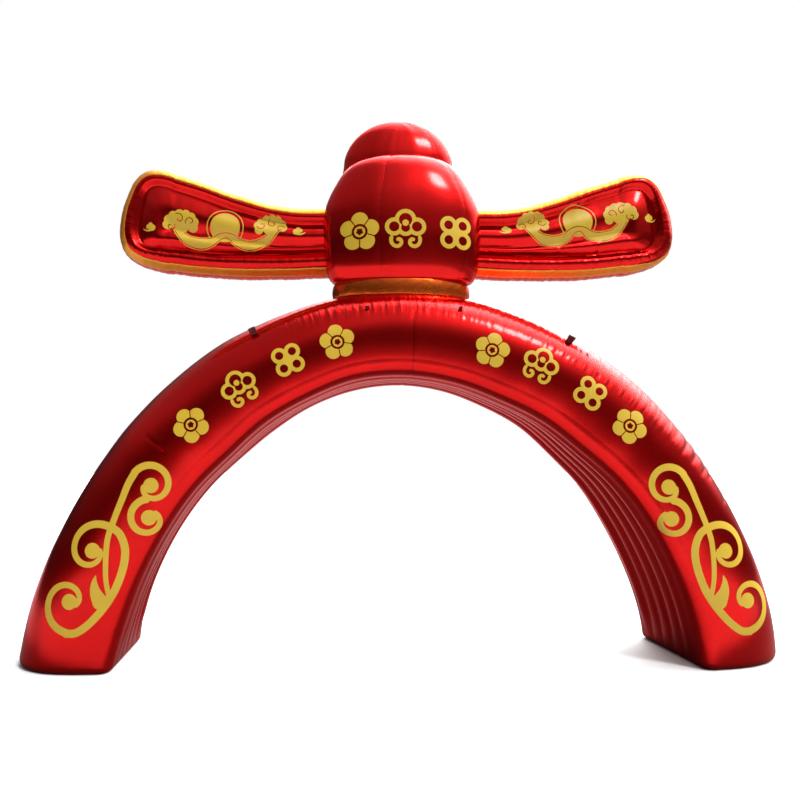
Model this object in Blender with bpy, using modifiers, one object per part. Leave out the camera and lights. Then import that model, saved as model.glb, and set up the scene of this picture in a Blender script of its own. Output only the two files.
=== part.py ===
"""Inflatable welcome arch that carries a winged court hat on its crown.

Units are metres and +Z is up. The origin lies on the ground in the middle of the passage. +X runs
across the passage towards the right leg, and the printed front faces -Y.

Every blown-up chamber is one filled solid with its own swell, ribs and drawn-in seams. Sewn-on
pieces are separate solids that stand a hair off the chamber that carries them.
"""

import math
from collections import namedtuple

import bmesh
import bpy
from mathutils import Matrix, Vector


# Driving dimensions of the arch tube's section
HALF_DEPTH = 0.70
FACE_TAPER = 0.066
WIDEST_SHARE = 0.42
CROWN_FULLNESS = 2.4
EDGE_ROUND = 0.12
EDGE_RISE = 0.17
EDGE_TURNS = (25.0, 50.0, 72.0, 90.0)
FOOT_EDGE_POWER = 0.8
LOWER_FACE_SHARE = 0.28
FOOT_EDGE_ROUND = 0.07
FOOT_EDGE_TURN = 0.8
FOOT_RING_SHARES = (0.0, 0.15, 0.45, 1.0)
FOOT_TAPER_HEIGHT = 0.9
MID_RADIUS = 3.4

# Inner and outer radius of the tube at each angle above the right foot, how much further out its
# front inner edge lies than its rear one, and how far its section is turned about its middle
ArchRow = namedtuple("ArchRow", "degrees inner lean outer twist")
ARCH_ROWS = (
    ArchRow(0.0, 2.895, 0.03, 3.980, 2.0),
    ArchRow(10.0, 2.838, 0.03, 3.892, 4.5),
    ArchRow(20.0, 2.798, 0.02, 3.836, 6.0),
    ArchRow(30.0, 2.788, 0.03, 3.812, 5.5),
    ArchRow(40.0, 2.798, 0.02, 3.823, 4.0),
    ArchRow(50.0, 2.800, 0.01, 3.850, 2.0),
    ArchRow(60.0, 2.850, 0.0, 3.865, 0.0),
    ArchRow(70.0, 2.875, -0.03, 3.880, 0.0),
    ArchRow(80.0, 2.922, -0.03, 3.902, 0.0),
    ArchRow(90.0, 2.946, -0.01, 3.920, 0.0),
    ArchRow(100.0, 2.934, 0.02, 3.902, 0.0),
    ArchRow(110.0, 2.882, 0.01, 3.870, 0.0),
    ArchRow(120.0, 2.826, 0.04, 3.860, 0.0),
    ArchRow(130.0, 2.777, 0.01, 3.831, 0.0),
    ArchRow(140.0, 2.782, -0.01, 3.817, 0.0),
    ArchRow(150.0, 2.792, -0.04, 3.813, 0.0),
    ArchRow(160.0, 2.818, -0.07, 3.852, 0.5),
    ArchRow(170.0, 2.862, -0.08, 3.920, 0.5),
    ArchRow(180.0, 2.925, -0.04, 3.990, 0.5),
)

# How much each foot narrows outwards, from a share of the way out from its inner edge
FootRow = namedtuple("FootRow", "taper start")
FEET = {"right": FootRow(0.42, 0.22), "left": FootRow(0.15, 0.6)}

# Ribs under the tube and seams across it
RIB_COUNT = 5
RIB_SWELL = 0.034
RIB_FULLNESS = 0.7
RIB_SEAM_LIFT = 0.020
RIB_LIFT_RISE = 4.0
RIB_FADE_HEIGHT = 0.45
SEAM_DEGREES = (22.0, 39.0, 56.0, 73.0, 88.7, 104.0, 119.0, 139.0, 157.0)
SEAM_DRAW_IN = 0.005
SEAM_REACH = 0.045
SEAM_RING_GAP = 1.6

# Driving dimensions of the hat
HAT_CENTRE_X = 0.015
COLLAR_TOP = 4.00
COLLAR_HALF_WIDTH = 0.75
COLLAR_HALF_DEPTH = 0.46
COLLAR_FOOT = 3.55
COLLAR_BELLY_ROWS = ((COLLAR_FOOT, 0.0), (3.84, 0.0), (3.92, 0.008), (COLLAR_TOP, 0.0))
PLAN_FULLNESS = 2.2
REAR_SHOULDER = 5.42
REAR_TOP = 5.985
DOME_FULLNESS = 0.85

# Hat chambers: height, half width, and how far they reach to the front and the rear
HatRow = namedtuple("HatRow", "height half_width front rear")
FRONT_CHAMBER_ROWS = (
    HatRow(4.0005, 0.765, -0.465, 0.14),
    HatRow(4.05, 0.802, -0.49, 0.17),
    HatRow(4.16, 0.838, -0.525, 0.20),
    HatRow(4.40, 0.865, -0.555, 0.22),
    HatRow(4.62, 0.868, -0.56, 0.23),
    HatRow(4.80, 0.852, -0.555, 0.22),
    HatRow(4.96, 0.800, -0.54, 0.21),
    HatRow(5.10, 0.730, -0.51, 0.19),
    HatRow(5.21, 0.665, -0.475, 0.17),
    HatRow(5.30, 0.585, -0.43, 0.14),
    HatRow(5.37, 0.475, -0.37, 0.09),
    HatRow(5.42, 0.320, -0.29, 0.03),
    HatRow(5.445, 0.150, -0.21, -0.05),
)
REAR_CHAMBER_ROWS = (
    HatRow(4.0005, 0.640, -0.04, 0.45),
    HatRow(4.09, 0.690, -0.08, 0.49),
    HatRow(4.32, 0.725, -0.12, 0.52),
    HatRow(4.60, 0.740, -0.14, 0.54),
    HatRow(4.85, 0.735, -0.15, 0.54),
    HatRow(5.10, 0.705, -0.16, 0.535),
    HatRow(5.28, 0.662, -0.16, 0.53),
)
REAR_DOME = HatRow(REAR_SHOULDER, 0.638, -0.16, 0.52)
REAR_DOME_TILTS = (0.0, 15.0, 30.0, 45.0, 58.0, 69.0, 78.0, 85.0)

# Driving dimensions of the wings, measured from the hat's middle plane outwards
WING_HALF_DEPTH = 0.23
WING_ROOT = 0.36
WING_LENGTH_RATIO = {"left": 1.0, "right": 0.988}
WING_SPINE_SHARE = 0.40
RIM_RADIUS = 0.155
RIM_GROOVE = 0.235
GROOVE_DEPTH = 0.26
SPINE_DEPTH = 0.20
RIDGE_SWELL = 0.26
RIDGE_FULLNESS = 0.75

# Upper and lower edge of a wing between its root and the start of its round end
WingRow = namedtuple("WingRow", "reach top bottom")
WING_ROWS = (
    WingRow(0.36, 4.885, 4.105),
    WingRow(0.83, 4.882, 4.098),
    WingRow(1.18, 4.888, 4.082),
    WingRow(1.50, 4.942, 4.076),
    WingRow(1.85, 5.045, 4.080),
    WingRow(2.18, 5.165, 4.098),
    WingRow(2.50, 5.262, 4.136),
)
# Distance from the end of the spine to the edge of the round end, at each angle above level
TipRow = namedtuple("TipRow", "degrees distance")
TIP_ROWS = (
    TipRow(90.0, 0.682),
    TipRow(76.0, 0.735),
    TipRow(64.0, 0.768),
    TipRow(53.0, 0.748),
    TipRow(36.0, 0.672),
    TipRow(13.0, 0.622),
    TipRow(-8.0, 0.614),
    TipRow(-24.0, 0.600),
    TipRow(-40.0, 0.545),
    TipRow(-62.0, 0.470),
    TipRow(-90.0, 0.450),
)

# Gold strip on a wing's front shoulder, as angles around the rim from the wing's middle plane
TRIM_OUTER_TILT = 22.0
TRIM_TILT_TOP = 78.0
TRIM_TILT_BOTTOM = 58.0
TRIM_TILT_TIP = {"left": 66.0, "right": 42.0}
TRIM_THICKNESS = 0.003
TRIM_STAND_OFF = 0.001

# Sewn tabs: angle around the arch, share of the way out from the inner edge, and size
TabRow = namedtuple("TabRow", "name degrees share width")
TAB_ROWS = (
    TabRow("tab_outer_right", 62.4, 0.86, 0.075),
    TabRow("tab_outer_left", 114.9, 0.86, 0.075),
    TabRow("tab_crown_right", 81.0, 0.77, 0.042),
    TabRow("tab_crown_left", 96.2, 0.73, 0.042),
    TabRow("tab_under_right", 81.0, 0.14, 0.036),
    TabRow("tab_under_left", 96.2, 0.14, 0.036),
)
TAB_HEIGHT_RATIO = 1.1
TAB_THICKNESS = 0.012
TAB_ROUND = 0.004
TAB_ROOT = 0.03
SLOPE_PROBE = 0.01

# Gap between two pieces that touch, points that count as one, and how finely the solids are divided
CLEARANCE = 0.0005
MERGE_DISTANCE = 0.00005
ARCH_STEP_DEGREES = 4.0
SEAM_ROOM_DEGREES = 2.4
RIB_STEPS = 4
CROWN_STEPS = 12
HAT_STEPS = 32
WING_TIP_STEPS = 14
WING_SIDE_STEPS = 9
RIDGE_STEPS = 4
TRIM_STEPS = 2


# Reading tables smoothly

def smooth_read(rows, key):
    """Value at key from rows of (key, value), on a curve through every row."""
    rows = sorted(rows)
    if key <= rows[0][0]:
        return rows[0][1]
    if key >= rows[-1][0]:
        return rows[-1][1]
    index = next(i for i in range(len(rows) - 1) if rows[i + 1][0] >= key)
    before = rows[max(index - 1, 0)]
    start = rows[index]
    end = rows[index + 1]
    after = rows[min(index + 2, len(rows) - 1)]
    width = end[0] - start[0]
    share = (key - start[0]) / width
    slope_start = (end[1] - before[1]) / (end[0] - before[0]) * width
    slope_end = (after[1] - start[1]) / (after[0] - start[0]) * width
    square = share * share
    cube = square * share
    return (
        (2 * cube - 3 * square + 1) * start[1]
        + (cube - 2 * square + share) * slope_start
        + (3 * square - 2 * cube) * end[1]
        + (cube - square) * slope_end
    )


def spread(start, end, steps):
    """Evenly spaced values from start to end, both included."""
    return [start + (end - start) * i / steps for i in range(steps + 1)]


# Meshes, materials and cuts

def new_material(name, colour, roughness, metallic):
    material = bpy.data.materials.new(name)
    material.use_nodes = True
    shader = material.node_tree.nodes["Principled BSDF"]
    shader.inputs["Base Color"].default_value = (*colour, 1.0)
    shader.inputs["Roughness"].default_value = roughness
    shader.inputs["Metallic"].default_value = metallic
    return material


def new_object(name, work, collection, material=None):
    """Finish a bmesh as one closed object with its faces pointing out.

    Quads are split the same way each time, so a grown cutter stays parallel to what it clears.
    """
    bmesh.ops.remove_doubles(work, verts=work.verts, dist=MERGE_DISTANCE)
    bmesh.ops.recalc_face_normals(work, faces=work.faces)
    bmesh.ops.triangulate(work, faces=work.faces, quad_method="FIXED")
    mesh = bpy.data.meshes.new(name)
    work.to_mesh(mesh)
    work.free()
    mesh.shade_smooth()
    shape = bpy.data.objects.new(name, mesh)
    collection.objects.link(shape)
    if material:
        mesh.materials.append(material)
    return shape


def loft(name, rings, collection, material=None):
    """Closed solid through rings of equally many points, with flat ends."""
    work = bmesh.new()
    loops = [[work.verts.new(point) for point in ring] for ring in rings]
    for lower, upper in zip(loops, loops[1:]):
        for i in range(len(lower)):
            j = (i + 1) % len(lower)
            work.faces.new((lower[i], lower[j], upper[j], upper[i]))
    work.faces.new(loops[0])
    work.faces.new(loops[-1])
    return new_object(name, work, collection, material)


def cut_away(shape, cutter):
    """Take the cutter's space out of the shape, with an exact cut."""
    cut = shape.modifiers.new("clear " + cutter.name, "BOOLEAN")
    cut.operation = "DIFFERENCE"
    cut.solver = "EXACT"
    cut.object = cutter
    cutter.hide_render = True
    cutter.display_type = "WIRE"


# Arch tube

def arch_value(column, degrees):
    """One column of the arch's table, read smoothly at an angle above the right foot."""
    return smooth_read([(row.degrees, getattr(row, column)) for row in ARCH_ROWS], degrees)


def arch_radius(degrees, depth, share):
    """Distance from the middle of the passage at a depth and a share of the tube's thickness."""
    inner = arch_value("inner", degrees) - 0.5 * arch_value("lean", degrees) * depth / HALF_DEPTH
    return inner + (arch_value("outer", degrees) - inner) * share


def height_on_arch(degrees):
    """Rough height above the ground of a place on the tube, up to the springing of the arch."""
    return math.radians(min(degrees, 180.0 - degrees)) * MID_RADIUS


def face_reach(share):
    """Half depth of the tube at a share of the way out from its inner edge."""
    if share <= WIDEST_SHARE:
        return HALF_DEPTH - FACE_TAPER * (1.0 - share / WIDEST_SHARE) ** 2
    crown = (share - WIDEST_SHARE) / (1.0 - WIDEST_SHARE)
    return HALF_DEPTH * max(0.0, 1.0 - crown**CROWN_FULLNESS) ** (1.0 / CROWN_FULLNESS)


def rib_clearance(depth):
    """How far a place under the tube lies from its nearest long edge, as a share of its width."""
    flat_half = face_reach(0.0) - EDGE_ROUND
    return max(0.0, (flat_half - abs(depth)) / (2.0 * flat_half))


def rib_swell(place):
    """Share of full swell at a place counted in ribs; the outermost ribs run smoothly into the corners."""
    from_side = min(place, RIB_COUNT - place)
    if from_side < 0.5:
        rise = from_side / 0.5
        return rise * rise * (3.0 - 2.0 * rise)
    return abs(math.sin(math.pi * place)) ** RIB_FULLNESS


def section_outline(edge_power):
    """Points around a section as (depth, share of thickness, share of rib swell).

    The inner corners are a quarter of an ellipse at an edge power of 1, and squarer below it.
    """
    flat_half = face_reach(0.0) - EDGE_ROUND
    outline = []
    for i in range(RIB_COUNT * RIB_STEPS + 1):
        depth = -flat_half + 2.0 * flat_half * i / (RIB_COUNT * RIB_STEPS)
        outline.append((depth, 0.0, rib_swell(i / RIB_STEPS)))
    corner_share = EDGE_RISE / (ARCH_ROWS[0].outer - ARCH_ROWS[0].inner)
    corner_reach = face_reach(corner_share)
    rising = []
    for turn in EDGE_TURNS:
        across = math.sin(math.radians(turn)) ** edge_power
        up = 1.0 - max(0.0, math.cos(math.radians(turn))) ** edge_power
        rising.append((flat_half + (corner_reach - flat_half) * across, corner_share * up))
    rising += [(face_reach(share), share) for share in (LOWER_FACE_SHARE, WIDEST_SHARE)]
    half_turn = []
    for turn in spread(0.0, 180.0, CROWN_STEPS)[1:-1]:
        across = math.cos(math.radians(turn))
        up = math.sin(math.radians(turn))
        depth = math.copysign(abs(across) ** (2.0 / CROWN_FULLNESS), across) * HALF_DEPTH
        share = WIDEST_SHARE + (1.0 - WIDEST_SHARE) * up ** (2.0 / CROWN_FULLNESS)
        half_turn.append((depth, share))
    outline += [(depth, share, 0.0) for depth, share in rising]
    outline += [(depth, share, 0.0) for depth, share in half_turn]
    outline += [(-depth, share, 0.0) for depth, share in reversed(rising)]
    return outline


def seam_inset(degrees):
    """How far the cloth is drawn in by the cross seams near an angle."""
    total = 0.0
    for seam in SEAM_DEGREES:
        away = math.radians(degrees - seam) * MID_RADIUS / SEAM_REACH
        total += SEAM_DRAW_IN * math.exp(-away * away)
    return total


def foot_inset(degrees):
    """Rounding of the foot's edge where it turns under to the flat sole."""
    height = height_on_arch(degrees)
    if height >= FOOT_EDGE_ROUND:
        return 0.0
    rise = 1.0 - height / FOOT_EDGE_ROUND
    return FOOT_EDGE_TURN * FOOT_EDGE_ROUND * (1.0 - math.sqrt(1.0 - rise * rise))


def arch_ring(degrees, grow=0.0):
    """Section of the tube in the radial plane at an angle above the right foot."""
    inset = seam_inset(degrees) + foot_inset(degrees) - grow
    depth_scale = (HALF_DEPTH - inset) / HALF_DEPTH
    angle = math.radians(degrees)
    twist = math.radians(arch_value("twist", degrees))
    middle = 0.5 * (arch_value("inner", degrees) + arch_value("outer", degrees))
    fade = min(1.0, height_on_arch(degrees) / RIB_FADE_HEIGHT)
    near_ground = 1.0 - min(1.0, height_on_arch(degrees) / FOOT_TAPER_HEIGHT)
    foot = FEET["right" if degrees < 90.0 else "left"]
    ring = []
    for depth, share, rib in section_outline(FOOT_EDGE_POWER + (1.0 - FOOT_EDGE_POWER) * fade):
        radius = arch_radius(degrees, depth, share) + inset * (1.0 - 2.0 * share)
        if share == 0.0:
            lift = RIB_SEAM_LIFT * min(1.0, RIB_LIFT_RISE * rib_clearance(depth))
            radius += fade * (lift - RIB_SWELL * rib)
        away = radius - middle
        deep = depth * depth_scale * (1.0 - near_ground**2 * foot.taper * (share - foot.start))
        turned_radius = middle + away * math.cos(twist) - deep * math.sin(twist)
        turned_depth = away * math.sin(twist) + deep * math.cos(twist)
        place = (turned_radius * math.cos(angle), turned_depth, turned_radius * math.sin(angle))
        ring.append(Vector(place))
    return ring


def ring_angles():
    """Angles of the tube's rings: even steps, closer at the seams and at the feet."""
    seam_side = math.degrees(SEAM_RING_GAP * SEAM_REACH / MID_RADIUS)
    angles = []
    for seam in SEAM_DEGREES:
        angles += [seam - seam_side, seam, seam + seam_side]
    steps = round(180.0 / ARCH_STEP_DEGREES)
    for angle in spread(0.0, 180.0, steps)[1:-1]:
        if all(abs(angle - seam) > SEAM_ROOM_DEGREES for seam in SEAM_DEGREES):
            angles.append(angle)
    for share in FOOT_RING_SHARES:
        edge = math.degrees(FOOT_EDGE_ROUND * share / MID_RADIUS)
        angles += [edge, 180.0 - edge]
    return sorted(angles)


def build_arch(name, collection, material=None, grow=0.0):
    return loft(name, [arch_ring(angle, grow) for angle in ring_angles()], collection, material)


# Hat

def plan_ring(row, grow=0.0):
    """Level ring of a hat chamber, a rounded ellipse between its front and its rear."""
    half_width = row.half_width + grow
    half_depth = 0.5 * (row.rear - row.front) + grow
    centre_y = 0.5 * (row.rear + row.front)
    ring = []
    for i in range(HAT_STEPS):
        turn = 2.0 * math.pi * i / HAT_STEPS
        across = math.cos(turn)
        along = math.sin(turn)
        x = math.copysign(abs(across) ** (2.0 / PLAN_FULLNESS), across) * half_width
        y = math.copysign(abs(along) ** (2.0 / PLAN_FULLNESS), along) * half_depth
        ring.append(Vector((HAT_CENTRE_X + x, centre_y + y, row.height)))
    return ring


def rear_dome_rows():
    """Rows of the rear chamber's round top above its shoulder."""
    centre_y = 0.5 * (REAR_DOME.front + REAR_DOME.rear)
    half_depth = 0.5 * (REAR_DOME.rear - REAR_DOME.front)
    rows = []
    for tilt in REAR_DOME_TILTS:
        shrink = math.cos(math.radians(tilt))
        height = REAR_SHOULDER + (REAR_TOP - REAR_SHOULDER) * math.sin(math.radians(tilt))
        reach = half_depth * shrink**DOME_FULLNESS
        rows.append(HatRow(height, REAR_DOME.half_width * shrink, centre_y - reach, centre_y + reach))
    return rows


def build_chamber(name, rows, collection, material=None, grow=0.0):
    """Hat chamber through level rings; a grown one also reaches further up and down."""
    middle = 0.5 * (rows[0].height + rows[-1].height)
    rings = []
    for row in rows:
        lift = math.copysign(grow, row.height - middle)
        rings.append(plan_ring(row._replace(height=row.height + lift), grow))
    return loft(name, rings, collection, material)


def build_collar(collection, material, arch_cutter):
    """Gold collar under the hat, its foot fitted to the crown of the arch."""
    rows = [
        HatRow(height, COLLAR_HALF_WIDTH + belly, -COLLAR_HALF_DEPTH - belly, COLLAR_HALF_DEPTH + belly)
        for height, belly in COLLAR_BELLY_ROWS
    ]
    collar = build_chamber("hat_collar", rows, collection, material)
    cut_away(collar, arch_cutter)
    return collar


# Wings

def wing_edges(reach):
    """Upper edge, lower edge and spine height of a wing at a distance from the hat's middle."""
    top = smooth_read([(row.reach, row.top) for row in WING_ROWS], reach)
    bottom = smooth_read([(row.reach, row.bottom) for row in WING_ROWS], reach)
    return top, bottom, bottom + WING_SPINE_SHARE * (top - bottom)


def wing_stations():
    """Stations around a wing's edge as (edge point, spine point, angle of the edge above level)."""
    stations = []
    reaches = spread(WING_ROOT, WING_ROWS[-1].reach, WING_SIDE_STEPS)
    for reach in reaches[:-1]:
        top, _, spine = wing_edges(reach)
        stations.append(((reach, top), (reach, spine), 90.0))
    tip_reach = WING_ROWS[-1].reach
    tip_spine = wing_edges(tip_reach)[2]
    for tilt in spread(90.0, -90.0, WING_TIP_STEPS):
        distance = smooth_read([(row.degrees, row.distance) for row in TIP_ROWS], tilt)
        angle = math.radians(tilt)
        edge = (tip_reach + distance * math.cos(angle), tip_spine + distance * math.sin(angle))
        stations.append((edge, (tip_reach, tip_spine), tilt))
    for reach in reversed(reaches[:-1]):
        _, bottom, spine = wing_edges(reach)
        stations.append(((reach, bottom), (reach, spine), -90.0))
    return stations


def rim_point(tilt):
    """Inset from the edge and half depth on the rim lobe, at an angle around it."""
    angle = math.radians(tilt)
    return RIM_RADIUS * (1.0 - math.cos(angle)), WING_HALF_DEPTH * math.sin(angle)


def face_depth(inset, span):
    """Half depth of the wing's face beyond the rim lobe, from its groove to the spine."""
    groove_level = 1.0 - GROOVE_DEPTH
    if inset <= RIM_GROOVE:
        share = (inset - RIM_RADIUS) / (RIM_GROOVE - RIM_RADIUS)
        return WING_HALF_DEPTH * (1.0 - GROOVE_DEPTH * share**2)
    share = (inset - RIM_GROOVE) / (span - RIM_GROOVE)
    level = groove_level + (1.0 - SPINE_DEPTH - groove_level) * share
    return WING_HALF_DEPTH * (level + RIDGE_SWELL * math.sin(math.pi * share) ** RIDGE_FULLNESS)


def trim_tilt(tilt, side):
    """Inner edge of the gold strip at a station whose edge faces an angle above level."""
    tip = TRIM_TILT_TIP[side]
    end = TRIM_TILT_TOP if tilt >= 0.0 else TRIM_TILT_BOTTOM
    share = math.sin(math.radians(abs(tilt))) ** 2
    return tip + (end - tip) * share


def wing_profile(edge, spine, tilt, side):
    """Half section of the wing at a station, from the edge in to the spine, as (inset, depth)."""
    span = math.hypot(edge[0] - spine[0], edge[1] - spine[1])
    strip = spread(TRIM_OUTER_TILT, trim_tilt(tilt, side), TRIM_STEPS)
    profile = [rim_point(t) for t in (0.0, *strip)]
    profile.append((RIM_RADIUS, WING_HALF_DEPTH))
    middle = 0.5 * (RIM_RADIUS + RIM_GROOVE)
    profile += [(middle, face_depth(middle, span)), (RIM_GROOVE, face_depth(RIM_GROOVE, span))]
    for share in spread(0.0, 1.0, RIDGE_STEPS)[1:]:
        inset = RIM_GROOVE + (span - RIM_GROOVE) * share
        profile.append((inset, face_depth(inset, span)))
    return profile, span


def wing_place(edge, spine, span, inset, depth, side):
    """Point of a wing at an inset from its edge towards its spine."""
    share = inset / span
    reach = edge[0] + (spine[0] - edge[0]) * share
    height = edge[1] + (spine[1] - edge[1]) * share
    outward = WING_LENGTH_RATIO[side] if side == "right" else -WING_LENGTH_RATIO[side]
    return Vector((outward * reach, depth, height))


def build_wing(side, collection, material, cutters):
    """Filled wing: front and back faces meet at the edge and along the spine."""
    work = bmesh.new()
    strips = []
    for edge, spine, tilt in wing_stations():
        profile, span = wing_profile(edge, spine, tilt, side)
        front = [wing_place(edge, spine, span, inset, -depth, side) for inset, depth in reversed(profile)]
        back = [wing_place(edge, spine, span, inset, depth, side) for inset, depth in profile[1:]]
        strips.append([work.verts.new(point) for point in front + back])
    for first, second in zip(strips, strips[1:]):
        for i in range(len(first) - 1):
            work.faces.new((first[i], first[i + 1], second[i + 1], second[i]))
    bmesh.ops.remove_doubles(work, verts=work.verts, dist=MERGE_DISTANCE)
    bmesh.ops.holes_fill(work, edges=[e for e in work.edges if e.is_boundary])
    wing = new_object("wing_" + side, work, collection, material)
    for cutter in cutters:
        cut_away(wing, cutter)
    return wing


def build_trim(side, collection, material, cutters):
    """Gold strip laid over a wing's front shoulder, all the way round from root to root."""
    work = bmesh.new()
    loops = []
    for edge, spine, tilt in wing_stations():
        span = math.hypot(edge[0] - spine[0], edge[1] - spine[1])
        inner_side = []
        outer_side = []
        for around in spread(TRIM_OUTER_TILT, trim_tilt(tilt, side), TRIM_STEPS):
            inset, depth = rim_point(around)
            turn = math.radians(around)
            out = Vector((math.cos(turn) / RIM_RADIUS, math.sin(turn) / WING_HALF_DEPTH)).normalized()
            for offset, line in ((TRIM_STAND_OFF, inner_side), (TRIM_STAND_OFF + TRIM_THICKNESS, outer_side)):
                place = (inset - out.x * offset, -(depth + out.y * offset))
                line.append(wing_place(edge, spine, span, place[0], place[1], side))
        loops.append([work.verts.new(point) for point in inner_side[::-1] + outer_side])
    for first, second in zip(loops, loops[1:]):
        for i in range(len(first)):
            j = (i + 1) % len(first)
            work.faces.new((first[i], first[j], second[j], second[i]))
    work.faces.new(loops[0])
    work.faces.new(loops[-1])
    trim = new_object("wing_trim_" + side, work, collection, material)
    for cutter in cutters:
        cut_away(trim, cutter)
    return trim


# Tabs

def front_place(degrees, share):
    """Point on the tube's front face, and the directions along the tube and off the cloth."""
    angle = math.radians(degrees)
    outward = Vector((math.cos(angle), 0.0, math.sin(angle)))
    along = Vector((math.sin(angle), 0.0, -math.cos(angle)))
    lower = arch_radius(degrees, -HALF_DEPTH, share - SLOPE_PROBE)
    upper = arch_radius(degrees, -HALF_DEPTH, share + SLOPE_PROBE)
    point = outward * (0.5 * (lower + upper)) + Vector((0.0, -face_reach(share), 0.0))
    rise = outward * (upper - lower)
    rise.y = face_reach(share - SLOPE_PROBE) - face_reach(share + SLOPE_PROBE)
    off_cloth = along.cross(rise).normalized()
    if off_cloth.y > 0.0:
        off_cloth.negate()
    return point, along, off_cloth


def build_tab(row, collection, material, arch_cutter):
    """Flat folded webbing tab that stands off the front face, its root fitted to the cloth."""
    point, along, off_cloth = front_place(row.degrees, row.share)
    height = row.width * TAB_HEIGHT_RATIO
    work = bmesh.new()
    bmesh.ops.create_cube(work, size=1.0)
    bmesh.ops.scale(work, vec=(row.width, TAB_THICKNESS, height + TAB_ROOT), verts=work.verts)
    bmesh.ops.translate(work, vec=(0.0, 0.0, 0.5 * (height - TAB_ROOT)), verts=work.verts)
    tab = new_object(row.name, work, collection, material)
    across = off_cloth.cross(along).normalized()
    turn = Matrix((along, across, off_cloth)).transposed()
    tab.matrix_world = Matrix.Translation(point) @ turn.to_4x4()
    rounding = tab.modifiers.new("soft edges", "BEVEL")
    rounding.width = TAB_ROUND
    rounding.segments = 1
    cut_away(tab, arch_cutter)
    return tab


# Putting the arch together

def clear_scene():
    for shape in list(bpy.data.objects):
        bpy.data.objects.remove(shape, do_unlink=True)


def new_collection(name):
    collection = bpy.data.collections.new(name)
    bpy.context.scene.collection.children.link(collection)
    return collection


def main():
    clear_scene()
    parts = new_collection("inflatable_arch")
    cutters = new_collection("cutters")
    red_cloth = new_material("red_cloth", (0.55, 0.01, 0.015), 0.28, 0.6)
    gold_cloth = new_material("gold_cloth", (0.78, 0.36, 0.03), 0.32, 0.5)
    webbing = new_material("webbing", (0.10, 0.005, 0.01), 0.7, 0.0)

    rear_rows = (*REAR_CHAMBER_ROWS, *rear_dome_rows())
    arch_cutter = build_arch("arch_cutter", cutters, grow=CLEARANCE)
    front_cutter = build_chamber("hat_front_cutter", FRONT_CHAMBER_ROWS, cutters, grow=CLEARANCE)
    rear_cutter = build_chamber("hat_rear_cutter", rear_rows, cutters, grow=CLEARANCE)

    build_arch("arch_tube", parts, red_cloth)
    build_collar(parts, gold_cloth, arch_cutter)
    build_chamber("hat_front", FRONT_CHAMBER_ROWS, parts, red_cloth)
    hat_rear = build_chamber("hat_rear", rear_rows, parts, red_cloth)
    cut_away(hat_rear, front_cutter)
    for side in ("left", "right"):
        build_wing(side, parts, red_cloth, (front_cutter, rear_cutter))
        build_trim(side, parts, gold_cloth, (front_cutter, rear_cutter))
    for row in TAB_ROWS:
        build_tab(row, parts, webbing, arch_cutter)


main()
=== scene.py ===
import math
from collections import namedtuple

import bmesh
import bpy
import numpy as np
from mathutils import Matrix, Vector
from mathutils.bvhtree import BVHTree


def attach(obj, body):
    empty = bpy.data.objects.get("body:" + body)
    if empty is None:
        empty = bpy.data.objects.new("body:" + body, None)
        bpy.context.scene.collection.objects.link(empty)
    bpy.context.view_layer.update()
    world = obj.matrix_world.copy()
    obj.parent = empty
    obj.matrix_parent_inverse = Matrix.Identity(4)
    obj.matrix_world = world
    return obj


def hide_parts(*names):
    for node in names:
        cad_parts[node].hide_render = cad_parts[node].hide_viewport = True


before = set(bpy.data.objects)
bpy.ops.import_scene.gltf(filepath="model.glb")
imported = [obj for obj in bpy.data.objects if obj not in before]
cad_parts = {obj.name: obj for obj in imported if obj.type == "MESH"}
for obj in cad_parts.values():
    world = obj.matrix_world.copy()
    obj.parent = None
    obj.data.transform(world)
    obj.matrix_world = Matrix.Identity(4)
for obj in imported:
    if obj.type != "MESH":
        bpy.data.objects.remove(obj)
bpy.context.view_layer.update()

# Looks of the inflatable arch: metallised cloth skins, gold edging, prints, webbing tabs and light.
# Units are metres, +Z is up, and the printed front faces -Y, as in the model.

# Camera and picture, measured for an image of 800 by 800
IMAGE_WIDTH = 800
FOCAL_PIXELS = 750.0
CENTRE_PIXEL = (346.4, 379.0)
SENSOR_WIDTH = 36.0
CAMERA_PLACE = Vector((-0.785, -8.270, 2.196))
CAMERA_PAN = 0.023
CAMERA_TILT = 0.092

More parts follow.
